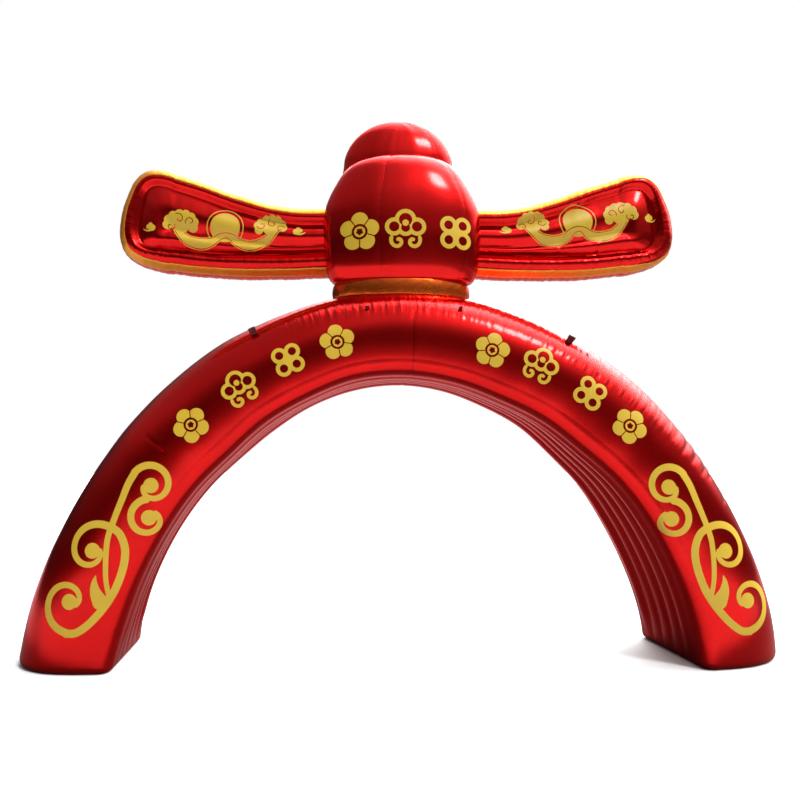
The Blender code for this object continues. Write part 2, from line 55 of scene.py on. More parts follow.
# Arch tube, as in the model
HALF_DEPTH = 0.70
FACE_TAPER = 0.066
WIDEST_SHARE = 0.42
CROWN_FULLNESS = 2.4
EDGE_ROUND = 0.12
EDGE_RISE = 0.17
FOOT_EDGE_POWER = 0.8
FOOT_EDGE_ROUND = 0.07
FOOT_EDGE_TURN = 0.8
FOOT_TAPER_HEIGHT = 0.9
FootRow = namedtuple("FootRow", "taper start")
FEET = {"right": FootRow(0.42, 0.22), "left": FootRow(0.15, 0.6)}
MID_RADIUS = 3.4
ArchRow = namedtuple("ArchRow", "degrees inner lean outer twist")
ARCH_ROWS = (
    ArchRow(0.0, 2.895, 0.03, 3.980, 2.0),
    ArchRow(10.0, 2.838, 0.03, 3.892, 4.5),
    ArchRow(20.0, 2.798, 0.02, 3.836, 6.0),
    ArchRow(30.0, 2.788, 0.03, 3.812, 5.5),
    ArchRow(40.0, 2.798, 0.02, 3.823, 4.0),
    ArchRow(50.0, 2.800, 0.01, 3.850, 2.0),
    ArchRow(60.0, 2.850, 0.0, 3.865, 0.0),
    ArchRow(70.0, 2.875, -0.03, 3.880, 0.0),
    ArchRow(80.0, 2.922, -0.03, 3.902, 0.0),
    ArchRow(90.0, 2.946, -0.01, 3.920, 0.0),
    ArchRow(100.0, 2.934, 0.02, 3.902, 0.0),
    ArchRow(110.0, 2.882, 0.01, 3.870, 0.0),
    ArchRow(120.0, 2.826, 0.04, 3.860, 0.0),
    ArchRow(130.0, 2.777, 0.01, 3.831, 0.0),
    ArchRow(140.0, 2.782, -0.01, 3.817, 0.0),
    ArchRow(150.0, 2.792, -0.04, 3.813, 0.0),
    ArchRow(160.0, 2.818, -0.07, 3.852, 0.5),
    ArchRow(170.0, 2.862, -0.08, 3.920, 0.5),
    ArchRow(180.0, 2.925, -0.04, 3.990, 0.5),
)
RIB_COUNT = 5
RIB_SWELL = 0.034
RIB_FULLNESS = 0.7
RIB_SEAM_LIFT = 0.020
RIB_LIFT_RISE = 4.0
RIB_FADE_HEIGHT = 0.45

# Cross seams that show, with the stretch of the front they show on as shares of the thickness
SeamRow = namedtuple("SeamRow", "degrees low high")
SEAM_ROWS = (SeamRow(56.0, 0.66, 1.0), SeamRow(88.7, 0.0, 1.0), SeamRow(138.5, 0.44, 0.70))
SEAM_DRAW_IN = 0.003
SEAM_REACH = 0.020

# Creases on the front: angle around the arch, radius, half length, half width and depth
Crease = namedtuple("Crease", "degrees radius length width drop")
CREASES = (
    Crease(39.6, 3.66, 0.13, 0.022, 0.006),
    Crease(38.3, 3.70, 0.10, 0.020, -0.004),
    Crease(37.2, 3.66, 0.16, 0.022, 0.008),
    Crease(36.0, 3.68, 0.13, 0.020, -0.005),
    Crease(34.9, 3.66, 0.13, 0.022, 0.007),
    Crease(33.7, 3.68, 0.10, 0.020, -0.004),
    Crease(32.4, 3.66, 0.12, 0.022, 0.006),
    Crease(31.0, 3.68, 0.08, 0.020, 0.005),
    Crease(26.6, 3.68, 0.07, 0.020, 0.008),
)

# Hat, as in the model
HAT_CENTRE_X = 0.015
COLLAR_TOP = 4.00
COLLAR_HALF_WIDTH = 0.75
COLLAR_HALF_DEPTH = 0.46
ABOVE_COLLAR = 4.5
PLAN_FULLNESS = 2.2
REAR_SHOULDER = 5.42
REAR_TOP = 5.985
DOME_FULLNESS = 0.85
HatRow = namedtuple("HatRow", "height half_width front rear")
FRONT_CHAMBER_ROWS = (
    HatRow(4.0005, 0.765, -0.465, 0.14),
    HatRow(4.05, 0.802, -0.49, 0.17),
    HatRow(4.16, 0.838, -0.525, 0.20),
    HatRow(4.40, 0.865, -0.555, 0.22),
    HatRow(4.62, 0.868, -0.56, 0.23),
    HatRow(4.80, 0.852, -0.555, 0.22),
    HatRow(4.96, 0.800, -0.54, 0.21),
    HatRow(5.10, 0.730, -0.51, 0.19),
    HatRow(5.21, 0.665, -0.475, 0.17),
    HatRow(5.30, 0.585, -0.43, 0.14),
    HatRow(5.37, 0.475, -0.37, 0.09),
    HatRow(5.42, 0.320, -0.29, 0.03),
    HatRow(5.445, 0.150, -0.21, -0.05),
)
REAR_CHAMBER_ROWS = (
    HatRow(4.0005, 0.640, -0.04, 0.45),
    HatRow(4.09, 0.690, -0.08, 0.49),
    HatRow(4.32, 0.725, -0.12, 0.52),
    HatRow(4.60, 0.740, -0.14, 0.54),
    HatRow(4.85, 0.735, -0.15, 0.54),
    HatRow(5.10, 0.705, -0.16, 0.535),
    HatRow(5.28, 0.662, -0.16, 0.53),
)
REAR_DOME = HatRow(REAR_SHOULDER, 0.638, -0.16, 0.52)

# Upright seams of the chambers, as angles around the hat, and the height over which stitches show
FRONT_SEAMS = (254.5, 318.0, 200.0)
REAR_SEAMS = tuple(18.0 + 72.0 * k for k in range(5))
FRONT_SEAM_DEPTH = 0.0030
REAR_SEAM_DEPTH = 0.0012
FOOT_GATHER_REACH = 0.16
STITCH_MIDDLE = 4.75
STITCH_HALF_HEIGHT = 0.66

# Wings, as in the model
WING_HALF_DEPTH = 0.23
WING_ROOT = 0.68
WING_LENGTH_RATIO = {"left": 1.0, "right": 0.988}
WING_SPINE_SHARE = 0.40
RIM_RADIUS = 0.155
RIM_GROOVE = 0.235
GROOVE_DEPTH = 0.26
SPINE_DEPTH = 0.20
RIDGE_SWELL = 0.26
RIDGE_FULLNESS = 1.15
WingRow = namedtuple("WingRow", "reach top bottom")
WING_ROWS = (
    WingRow(0.36, 4.885, 4.105),
    WingRow(0.83, 4.882, 4.098),
    WingRow(1.18, 4.888, 4.082),
    WingRow(1.50, 4.942, 4.076),
    WingRow(1.85, 5.045, 4.080),
    WingRow(2.18, 5.165, 4.098),
    WingRow(2.50, 5.262, 4.136),
)
TipRow = namedtuple("TipRow", "degrees distance")
TIP_ROWS = (
    TipRow(90.0, 0.682),
    TipRow(76.0, 0.735),
    TipRow(64.0, 0.768),
    TipRow(53.0, 0.748),
    TipRow(36.0, 0.672),
    TipRow(13.0, 0.622),
    TipRow(-8.0, 0.614),
    TipRow(-24.0, 0.600),
    TipRow(-40.0, 0.545),
    TipRow(-62.0, 0.470),
    TipRow(-90.0, 0.450),
)
TRIM_OUTER_TILT = 22.0
TRIM_TILT_TOP = 78.0
TRIM_TILT_BOTTOM = 58.0
TRIM_TILT_TIP = {"left": 66.0, "right": 42.0}
TRIM_THICKNESS = 0.003
TRIM_STAND_OFF = 0.001

# Tabs of folded webbing: angle around the arch, share of the way out from its inner edge, and width
TabRow = namedtuple("TabRow", "name degrees share width")
TAB_ROWS = (
    TabRow("tab_outer_right", 62.4, 0.86, 0.075),
    TabRow("tab_outer_left", 114.9, 0.86, 0.075),
    TabRow("tab_crown_right", 81.0, 0.77, 0.042),
    TabRow("tab_crown_left", 96.2, 0.73, 0.042),
    TabRow("tab_under_right", 81.0, 0.14, 0.036),
    TabRow("tab_under_left", 96.2, 0.14, 0.036),
)
TAB_HEIGHT_RATIO = 1.1
TAB_HALF_THICKNESS = 0.005
TAB_LAYER = 0.0018
TAB_ROOT = 0.02
SLOPE_PROBE = 0.01
PRINT_STAND_OFF = 0.0015

# Cross creases on a wing's face: place, half length, half width and depth
WingCrease = namedtuple("WingCrease", "x z length width drop")
WING_CREASES = {
    "left": (),
    "right": (
        WingCrease(2.02, 4.98, 0.10, 0.014, 0.007),
        WingCrease(1.75, 4.36, 0.09, 0.014, 0.007),
        WingCrease(2.20, 4.40, 0.09, 0.014, 0.007),
    ),
}

# How finely the skins are divided
ARCH_RINGS = 690
UNDER_STEPS = 7
CORNER_STEPS = 9
SIDE_STEPS = {"rear": 24, "front": 58}
MERGE_DISTANCE = 0.00002
HAT_AROUND = 176
HAT_RINGS = 96
WING_SIDE_STEPS = 90
WING_TIP_STEPS = 70


# Reading tables

def smooth_read(rows, keys):
    """Values at keys from rows of (key, value), on a curve through every row."""
    table = np.array(sorted(rows), float)
    place, value = table.T
    keys = np.clip(np.asarray(keys, float), place[0], place[-1])
    start = np.clip(np.searchsorted(place, keys) - 1, 0, len(place) - 2)
    end = start + 1
    before = np.maximum(start - 1, 0)
    after = np.minimum(start + 2, len(place) - 1)
    width = place[end] - place[start]
    share = (keys - place[start]) / width
    slope_start = (value[end] - value[before]) / (place[end] - place[before]) * width
    slope_end = (value[after] - value[start]) / (place[after] - place[start]) * width
    square = share * share
    cube = square * share
    return (
        (2 * cube - 3 * square + 1) * value[start]
        + (cube - 2 * square + share) * slope_start
        + (3 * square - 2 * cube) * value[end]
        + (cube - square) * slope_end
    )


def soft_step(low, high, value):
    """0 below low, 1 above high, and a smooth rise between."""
    share = np.clip((value - low) / (high - low), 0.0, 1.0)
    return share * share * (3.0 - 2.0 * share)


def respaced(points, steps):
    """Points at even distances along a line of points."""
    points = np.asarray(points, float)
    length = np.concatenate(([0.0], np.cumsum(np.linalg.norm(np.diff(points, axis=0), axis=1))))
    even = np.linspace(0.0, length[-1], steps + 1)
    return np.stack([np.interp(even, length, column) for column in points.T], axis=1)


def waves(along, across, pitch, drift, seed):
    """Uneven waves that follow each other in one direction, with crests that wander in the other."""
    random = np.random.default_rng(seed)
    total = 0.0
    for stretch in (0.7, 1.0, 1.4, 1.9):
        phase, bend = random.uniform(0.0, 2.0 * math.pi, 2)
        slant = drift * random.uniform(-1.0, 1.0)
        wander = 0.8 * np.sin(2.0 * math.pi * across / (6.0 * pitch * stretch) + bend)
        run = along / (pitch * stretch) + slant * across
        total = total + np.sin(2.0 * math.pi * run + phase + wander)
    return total / 4.0


# Meshes

def outward_normals(points, closed):
    """Unit normals of a grid of points, rows by columns, facing out of a closed skin."""
    if closed:
        around = np.roll(points, -1, axis=1) - np.roll(points, 1, axis=1)
    else:
        around = np.gradient(points, axis=1)
    normal = np.cross(np.gradient(points, axis=0), around)
    normal /= np.maximum(np.linalg.norm(normal, axis=2, keepdims=True), 1e-12)
    middle = points.mean(axis=1, keepdims=True)
    if ((points - middle) * normal).sum() < 0.0:
        normal = -normal
    return normal


def skin(name, points, lengths, closed=True, ends=True, values=None):
    """Mesh of a grid of points with a map in metres of cloth and a value for each point.

    lengths holds the cloth's length along the rows and around the columns, one longer if closed.
    """
    rows, columns = points.shape[:2]
    number = np.arange(rows * columns).reshape(rows, columns)
    if closed:
        number = np.concatenate((number, number[:, :1]), axis=1)
    corners = np.stack((number[:-1, :-1], number[:-1, 1:], number[1:, 1:], number[1:, :-1]), axis=-1)
    along, around = (np.asarray(length, float) for length in lengths)
    along = np.broadcast_to(along[:, None], (rows, around.size))
    around = np.broadcast_to(around[None, :], along.shape)
    place = np.stack((along, around), axis=-1)
    maps = np.stack((place[:-1, :-1], place[:-1, 1:], place[1:, 1:], place[1:, :-1]), axis=2)
    quads = corners.reshape(-1, 4)
    maps = maps.reshape(-1, 4, 2)
    flat = points.reshape(-1, 3)
    middle = points.mean(axis=1)[np.repeat(np.arange(rows - 1), corners.shape[1])]
    a, b, c, d = (flat[quads[:, k]] for k in range(4))
    facing = (np.cross(c - a, d - b) * (0.25 * (a + b + c + d) - middle)).sum()
    if facing < 0.0:
        quads = quads[:, ::-1]
        maps = maps[:, ::-1]
    faces = quads.tolist()
    if closed and ends:
        faces.append(number[0, :-1].tolist()[:: 1 if facing < 0.0 else -1])
        faces.append(number[-1, :-1].tolist()[:: -1 if facing < 0.0 else 1])
    mesh = bpy.data.meshes.new(name)
    mesh.from_pydata(flat.tolist(), [], faces)
    layer = mesh.uv_layers.new(name="cloth")
    flat_map = np.zeros((len(mesh.loops), 2), np.float32)
    flat_map[: maps.shape[0] * 4] = maps.reshape(-1, 2)
    layer.uv.foreach_set("vector", flat_map.ravel())
    for key, value in ({"seam": 1.0, "pucker": 0.0, "under": 0.0} | (values or {})).items():
        attribute = mesh.attributes.new(key, "FLOAT", "POINT")
        spread = np.broadcast_to(value, (rows, columns)).ravel()
        attribute.data.foreach_set("value", spread.astype(np.float32))
    mesh.shade_smooth()
    mesh.update()
    piece = bpy.data.objects.new(name, mesh)
    bpy.context.scene.collection.objects.link(piece)
    return piece


def grid_lengths(points, closed=True):
    """Lengths of cloth along the rows and around the columns of a grid of points."""
    row = points[:, points.shape[1] // 2]
    along = np.concatenate(([0.0], np.cumsum(np.linalg.norm(np.diff(row, axis=0), axis=1))))
    ring = points[points.shape[0] // 2]
    if closed:
        ring = np.concatenate((ring, ring[:1]))
    around = np.concatenate(([0.0], np.cumsum(np.linalg.norm(np.diff(ring, axis=0), axis=1))))
    return along, around


def close_up(piece):
    """Join a skin's edges that meet, and cap what is left open."""
    work = bmesh.new()
    work.from_mesh(piece.data)
    bmesh.ops.remove_doubles(work, verts=work.verts, dist=MERGE_DISTANCE)
    bmesh.ops.holes_fill(work, edges=[edge for edge in work.edges if edge.is_boundary])
    bmesh.ops.recalc_face_normals(work, faces=work.faces)
    work.to_mesh(piece.data)
    work.free()
    piece.data.shade_smooth()
    return piece


def finish_piece(piece, material, nodes=()):
    """Give a piece its material and its body, and hide the model's parts that it stands for."""
    piece.data.materials.append(material)
    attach(piece, "root")
    if nodes:
        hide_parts(*nodes)
    return piece


# Arch tube

def arch_value(column, degrees):
    return smooth_read([(row.degrees, getattr(row, column)) for row in ARCH_ROWS], degrees)


def face_reach(share):
    """Half depth of the tube at a share of the way out from its inner edge."""
    share = np.asarray(share, float)
    lower = HALF_DEPTH - FACE_TAPER * (1.0 - np.minimum(share, WIDEST_SHARE) / WIDEST_SHARE) ** 2
    crown = np.clip((share - WIDEST_SHARE) / (1.0 - WIDEST_SHARE), 0.0, 1.0)
    upper = HALF_DEPTH * (1.0 - crown**CROWN_FULLNESS) ** (1.0 / CROWN_FULLNESS)
    return np.where(share <= WIDEST_SHARE, lower, upper)


def rib_swell(place):
    """Share of full swell at places counted in ribs; the outermost ribs run into the corners."""
    from_side = np.minimum(place, RIB_COUNT - place)
    rise = np.clip(2.0 * from_side, 0.0, 1.0)
    inner = np.abs(np.sin(math.pi * place)) ** RIB_FULLNESS
    return np.where(from_side < 0.5, rise * rise * (3.0 - 2.0 * rise), inner)


def corner_place(turn, power):
    """Depth and share of thickness on an inner corner, squarer the lower the power."""
    flat_half = float(face_reach(0.0)) - EDGE_ROUND
    corner_share = EDGE_RISE / (ARCH_ROWS[0].outer - ARCH_ROWS[0].inner)
    across = np.sin(turn) ** power
    up = 1.0 - np.maximum(np.cos(turn), 0.0) ** power
    return flat_half + (float(face_reach(corner_share)) - flat_half) * across, corner_share * up


def arch_outline():
    """Columns around the tube: depth, share of thickness, rib swell and turn on an inner corner."""
    flat_half = float(face_reach(0.0)) - EDGE_ROUND
    count = RIB_COUNT * UNDER_STEPS + 1
    under = np.linspace(-flat_half, flat_half, count)
    swell = rib_swell(np.arange(count) / UNDER_STEPS)
    outline = [(depth, 0.0, rib, 0.0) for depth, rib in zip(under, swell)]
    turns = np.radians(np.linspace(0.0, 90.0, CORNER_STEPS + 1)[1:])
    corner = list(zip(*corner_place(turns, 1.0), turns))
    thickness = ARCH_ROWS[0].outer - ARCH_ROWS[0].inner
    shares = np.linspace(corner[-1][1], WIDEST_SHARE, 40)
    side = list(zip(face_reach(shares), shares * thickness))
    for turn in np.radians(np.linspace(0.0, 90.0, 200)[1:]):
        depth = max(0.0, math.cos(turn)) ** (2.0 / CROWN_FULLNESS) * HALF_DEPTH
        share = WIDEST_SHARE + (1.0 - WIDEST_SHARE) * math.sin(turn) ** (2.0 / CROWN_FULLNESS)
        side.append((depth, share * thickness))
    rear = respaced(side, SIDE_STEPS["rear"])
    front = respaced(side, SIDE_STEPS["front"])
    outline += [(depth, share, 0.0, turn) for depth, share, turn in corner]
    outline += [(depth, rise / thickness, 0.0, 0.0) for depth, rise in rear[1:]]
    outline += [(-depth, rise / thickness, 0.0, 0.0) for depth, rise in front[::-1][1:-1]]
    outline += [(-depth, share, 0.0, turn) for depth, share, turn in corner[::-1]]
    return np.array(outline).T


def arch_degrees():
    """Angles of the rings, even but for closer ones at the rounded edge of each foot."""
    edge = math.degrees(FOOT_EDGE_ROUND / MID_RADIUS)
    near = edge * np.array([0.0, 0.04, 0.12, 0.25, 0.42, 0.62, 0.8])
    middle = np.linspace(edge, 180.0 - edge, ARCH_RINGS - 2 * len(near))
    return np.concatenate((near, middle, (180.0 - near)[::-1]))


def seam_gap(degrees, share):
    """Signed distance along the tube to the nearest cross seam that shows at a place."""
    best = np.ones((len(degrees), share.shape[1]))
    for row in SEAM_ROWS:
        gap = np.radians(degrees - row.degrees)[:, None] * MID_RADIUS
        shown = (share >= row.low) & (share <= row.high)
        best = np.where(shown & (np.abs(gap) < np.abs(best)), gap, best)
    return best


def arch_folds(degrees, share, depth, radius):
    """How far the cloth stands off its smooth form: puckers on the crown's shoulders, creases, slack."""
    run = np.radians(degrees)[:, None] * MID_RADIUS
    side = np.sign(depth)
    rise = share * 0.97
    height = np.radians(np.minimum(degrees, 180.0 - degrees))[:, None] * MID_RADIUS
    grounded = soft_step(0.02, 0.35, height)
    shoulder = pucker_share(degrees, share)
    pucker = waves(run, rise + 0.3 * side, 0.062, 0.35, 11)
    folds = 0.0042 * shoulder * np.abs(pucker) ** 0.8 * np.sign(pucker)
    folds = folds - SEAM_DRAW_IN * np.exp(-((seam_gap(degrees, share) / SEAM_REACH) ** 2))
    for crease in CREASES:
        across = (degrees - crease.degrees)[:, None] * math.radians(crease.radius) / crease.width
        along = (radius - crease.radius) / crease.length
        folds = folds - crease.drop * np.exp(-(across**2) - along**4) * (side < 0.0)
    slack = waves(run, rise + 2.0 * side, 0.62, 0.12, 37)
    folds = folds + 0.0022 * slack * soft_step(0.02, 0.2, share)
    return folds * grounded


def pucker_share(degrees, share):
    """How strongly the cloth is gathered by the sewing, along the shoulders of the crown."""
    shoulder = soft_step(0.60, 0.78, share) * (1.0 - 0.6 * soft_step(0.93, 1.0, share))
    stretch = soft_step(34.0, 46.0, degrees) * (1.0 - 0.75 * soft_step(98.0, 112.0, degrees))
    return shoulder * (stretch * (1.0 - soft_step(122.0, 136.0, degrees)))[:, None]


def make_arch():
    degrees = arch_degrees()
    depth, share, rib, turn = arch_outline()
    height = np.radians(np.minimum(degrees, 180.0 - degrees)) * MID_RADIUS
    fade = np.minimum(1.0, height / RIB_FADE_HEIGHT)[:, None]
    corner_depth, corner_share = corner_place(turn, FOOT_EDGE_POWER + (1.0 - FOOT_EDGE_POWER) * fade)
    depth = np.where(turn > 0.0, np.sign(depth) * corner_depth, depth)
    share = np.where(turn > 0.0, corner_share, share)
    edge = np.clip(1.0 - height / FOOT_EDGE_ROUND, 0.0, 1.0)
    inset = (FOOT_EDGE_TURN * FOOT_EDGE_ROUND * (1.0 - np.sqrt(1.0 - edge**2)))[:, None]
    outer = arch_value("outer", degrees)[:, None]
    level = arch_value("inner", degrees)[:, None]
    inner = level - 0.5 * arch_value("lean", degrees)[:, None] * depth / HALF_DEPTH
    radius = inner + (outer - inner) * share + inset * (1.0 - 2.0 * share)
    flat_half = float(face_reach(0.0)) - EDGE_ROUND
    clear = np.clip((flat_half - np.abs(depth)) / (2.0 * flat_half), 0.0, None)
    ribs = fade * (RIB_SEAM_LIFT * np.minimum(1.0, RIB_LIFT_RISE * clear) - RIB_SWELL * rib)
    radius = radius + np.where(share == 0.0, ribs, 0.0)
    near_ground = 1.0 - np.minimum(1.0, height / FOOT_TAPER_HEIGHT)[:, None]
    taper, start = (
        np.where(degrees < 90.0, right, left)[:, None] for right, left in zip(FEET["right"], FEET["left"])
    )
    deep = depth * (HALF_DEPTH - inset) / HALF_DEPTH * (1.0 - near_ground**2 * taper * (share - start))
    middle = 0.5 * (level + outer)
    twist = np.radians(arch_value("twist", degrees))[:, None]
    away = radius - middle
    turned = middle + away * np.cos(twist) - deep * np.sin(twist)
    angle = np.radians(degrees)[:, None]
    points = np.stack((
        turned * np.cos(angle),
        away * np.sin(twist) + deep * np.cos(twist),
        turned * np.sin(angle),
    ), axis=-1)
    normal = outward_normals(points, closed=True)
    normal[0, :, 2] = 0.0
    normal[-1, :, 2] = 0.0
    points = points + normal * arch_folds(degrees, share, depth, radius)[:, :, None]
    values = {
        "seam": seam_gap(degrees, share),
        "pucker": pucker_share(degrees, share),
        "under": 1.0 - soft_step(0.0, 0.05, share),
    }
    lengths = (np.radians(degrees) * MID_RADIUS, grid_lengths(points)[1])
    return skin("arch_skin", points, lengths, values=values)


# Hat

def plan_curve(around):
    """Angles around the hat's squarish plan, and its x and y there for a half width and depth of 1."""
    turn = 2.0 * math.pi * np.arange(around) / around
    across, deep = np.cos(turn), np.sin(turn)
    x = np.sign(across) * np.abs(across) ** (2.0 / PLAN_FULLNESS)
    y = np.sign(deep) * np.abs(deep) ** (2.0 / PLAN_FULLNESS)
    return turn, x, y


def plan_rings(rows, rings, around):
    """Grid of points through level rings, finely and smoothly between the given rows."""
    number = np.arange(len(rows))
    fine = np.linspace(0.0, len(rows) - 1.0, rings)
    height, half_width, front, rear = (
        smooth_read(list(zip(number, [getattr(row, key) for row in rows])), fine) for key in HatRow._fields
    )
    turn, x, y = plan_curve(around)
    points = np.zeros((rings, around, 3))
    points[:, :, 0] = HAT_CENTRE_X + x * half_width[:, None]
    points[:, :, 1] = 0.5 * (rear + front)[:, None] + y * (0.5 * (rear - front))[:, None]
    points[:, :, 2] = height[:, None]
    return points, np.degrees(turn)


def meridian_gap(points, turn, seams):
    """Signed distance around each ring to the nearest upright seam."""
    gaps = (turn[:, None] - np.array(seams)[None, :] + 180.0) % 360.0 - 180.0
    nearest = gaps[np.arange(len(turn)), np.abs(gaps).argmin(axis=1)]
    step = np.linalg.norm(np.roll(points, -1, axis=1) - np.roll(points, 1, axis=1), axis=2) * 0.5
    return np.radians(nearest)[None, :] * step / (2.0 * math.pi / len(turn))


def shown_seam(points, gap):
    """A chamber's seam value: its stitching is hidden in the gathers near its foot and top."""
    from_middle = np.abs(points[:, :, 2] - STITCH_MIDDLE)
    return {"seam": np.where(from_middle < STITCH_HALF_HEIGHT, gap, 1.0)}


def chamber_folds(points, gap, seed, groove):
    """Grooves along the upright seams, small gathers beside them and at the sewn foot, and slack."""
    height = points[:, :, 2]
    around = np.arctan2(points[:, :, 1], points[:, :, 0] - HAT_CENTRE_X) * 0.75
    folds = -groove * np.exp(-((gap / 0.020) ** 2))
    folds = folds + 0.0010 * np.exp(-((gap / 0.06) ** 2)) * waves(height, around, 0.07, 0.2, seed)
    near_foot = 1.0 - soft_step(0.0, FOOT_GATHER_REACH, height - COLLAR_TOP)
    rise = soft_step(0.0, 0.02, height - COLLAR_TOP)
    folds = folds + 0.0012 * near_foot * rise * waves(around, height, 0.085, 0.3, seed + 1)
    return folds + 0.0028 * waves(around, height, 0.55, 0.3, seed + 2)


def make_front_chamber():
    rows = (*FRONT_CHAMBER_ROWS, HatRow(5.4505, 0.05, -0.155, -0.105), HatRow(5.451, 0.004, -0.132, -0.128))
    points, turn = plan_rings(rows, HAT_RINGS, HAT_AROUND)
    gap = meridian_gap(points, turn, FRONT_SEAMS)
    calm = 1.0 - soft_step(5.38, 5.44, points[:, :, 2])
    folds = chamber_folds(points, gap, 51, FRONT_SEAM_DEPTH) * calm
    points = points + outward_normals(points, True) * folds[:, :, None]
    points[:, :, 2] = np.maximum(points[:, :, 2], COLLAR_TOP + 0.0005)
    return skin("hat_front_skin", points, grid_lengths(points), values=shown_seam(points, gap))


def front_chamber_back(x, z):
    """How far to the rear the front chamber reaches at a place seen from the front, or far forward."""
    table = [(row.height, row) for row in FRONT_CHAMBER_ROWS]
    half_width, front, rear = (
        smooth_read([(height, getattr(row, key)) for height, row in table], z)
        for key in ("half_width", "front", "rear")
    )
    share = np.abs(x - HAT_CENTRE_X) / half_width
    bulge = np.clip(1.0 - np.minimum(share, 1.0) ** PLAN_FULLNESS, 0.0, None) ** (1.0 / PLAN_FULLNESS)
    back = 0.5 * (front + rear) + 0.5 * (rear - front) * bulge
    inside = (share < 1.0) & (z < FRONT_CHAMBER_ROWS[-1].height)
    return np.where(inside, back, -10.0)


def make_rear_chamber():
    centre = 0.5 * (REAR_DOME.front + REAR_DOME.rear)
    half_depth = 0.5 * (REAR_DOME.rear - REAR_DOME.front)
    rows = list(REAR_CHAMBER_ROWS)
    for tilt in (0.0, 12.0, 24.0, 36.0, 47.0, 57.0, 66.0, 74.0, 80.0, 85.0, 88.5):
        shrink = math.cos(math.radians(tilt))
        height = REAR_SHOULDER + (REAR_TOP - REAR_SHOULDER) * math.sin(math.radians(tilt))
        reach = half_depth * shrink**DOME_FULLNESS
        rows.append(HatRow(height, REAR_DOME.half_width * shrink, centre - reach, centre + reach))
    points, turn = plan_rings(rows, HAT_RINGS + 30, HAT_AROUND)
    gap = meridian_gap(points, turn, REAR_SEAMS)
    calm = 1.0 - soft_step(5.88, 5.97, points[:, :, 2])
    folds = chamber_folds(points, gap, 61, REAR_SEAM_DEPTH) * calm
    points = points + outward_normals(points, True) * folds[:, :, None]
    points[:, :, 2] = np.maximum(points[:, :, 2], COLLAR_TOP + 0.0005)
    pressed = front_chamber_back(points[:, :, 0], points[:, :, 2]) + 0.004
    points[:, :, 1] = np.maximum(points[:, :, 1], pressed)
    return skin("hat_rear_skin", points, grid_lengths(points), values=shown_seam(points, gap))


def make_collar(arch_tree):
    """Gold collar whose sewn foot follows the crown of the arch."""
    steps = 14
    turn, x, y = plan_curve(HAT_AROUND)
    foot = np.array([
        arch_tree.ray_cast(
            Vector((HAT_CENTRE_X + a * COLLAR_HALF_WIDTH, b * COLLAR_HALF_DEPTH, ABOVE_COLLAR)), (0, 0, -1)
        )[0].z
        for a, b in zip(x, y)
    ]) + 0.002
    share = np.linspace(0.0, 1.0, steps + 1)[:, None]
    height = foot[None, :] + (COLLAR_TOP - 0.001 - foot[None, :]) * share
    belly = 0.012 * np.sin(math.pi * share) ** 0.7
    around = turn * 0.62
    gathers = 0.0035 * np.sin(math.pi * share) ** 0.5 * waves(around[None, :], 1.5 * share, 0.09, 0.4, 71)
    swell = 1.0 + (belly + gathers) / 0.6
    points = np.stack(
        (
            HAT_CENTRE_X + x[None, :] * COLLAR_HALF_WIDTH * swell,
            y[None, :] * COLLAR_HALF_DEPTH * swell,
            height,
        ),
        axis=-1,
    )
    return skin("hat_collar_skin", points, grid_lengths(points))


# Wings

def wing_stations():
    """Edge point, spine point and angle of the edge at stations around a wing, root to root."""
    tops = [(row.reach, row.top) for row in WING_ROWS]
    bottoms = [(row.reach, row.bottom) for row in WING_ROWS]
    tip_reach = WING_ROWS[-1].reach
    reach = np.linspace(WING_ROOT, tip_reach, WING_SIDE_STEPS)[:-1]
    top, bottom = smooth_read(tops, reach), smooth_read(bottoms, reach)
    spine = bottom + WING_SPINE_SHARE * (top - bottom)
    tip_bottom = WING_ROWS[-1].bottom
    tip_spine = tip_bottom + WING_SPINE_SHARE * (WING_ROWS[-1].top - tip_bottom)
    tilt = np.linspace(90.0, -90.0, WING_TIP_STEPS)
    distance = smooth_read([(row.degrees, row.distance) for row in TIP_ROWS], tilt)
    angle = np.radians(tilt)
    tip = np.stack((tip_reach + distance * np.cos(angle), tip_spine + distance * np.sin(angle)), axis=1)
    edge = np.concatenate((np.stack((reach, top), 1), tip, np.stack((reach, bottom), 1)[::-1]))
    hub = np.tile((tip_reach, tip_spine), (len(tip), 1))
    middle = np.concatenate((np.stack((reach, spine), 1), hub, np.stack((reach, spine), 1)[::-1]))
    tilts = np.concatenate((np.full(len(reach), 90.0), tilt, np.full(len(reach), -90.0)))
    return edge, middle, tilts


def trim_tilt(tilt, side):
    """Inner edge of the gold strip at a station whose edge faces an angle above level."""
    end = np.where(tilt >= 0.0, TRIM_TILT_TOP, TRIM_TILT_BOTTOM)
    share = np.sin(np.radians(np.abs(tilt))) ** 2
    return TRIM_TILT_TIP[side] + (end - TRIM_TILT_TIP[side]) * share


def rim_profile(around):
    """Inset and half depth on the rim lobe at angles around it."""
    angle = np.radians(around)
    return RIM_RADIUS * (1.0 - np.cos(angle)), WING_HALF_DEPTH * np.sin(angle)


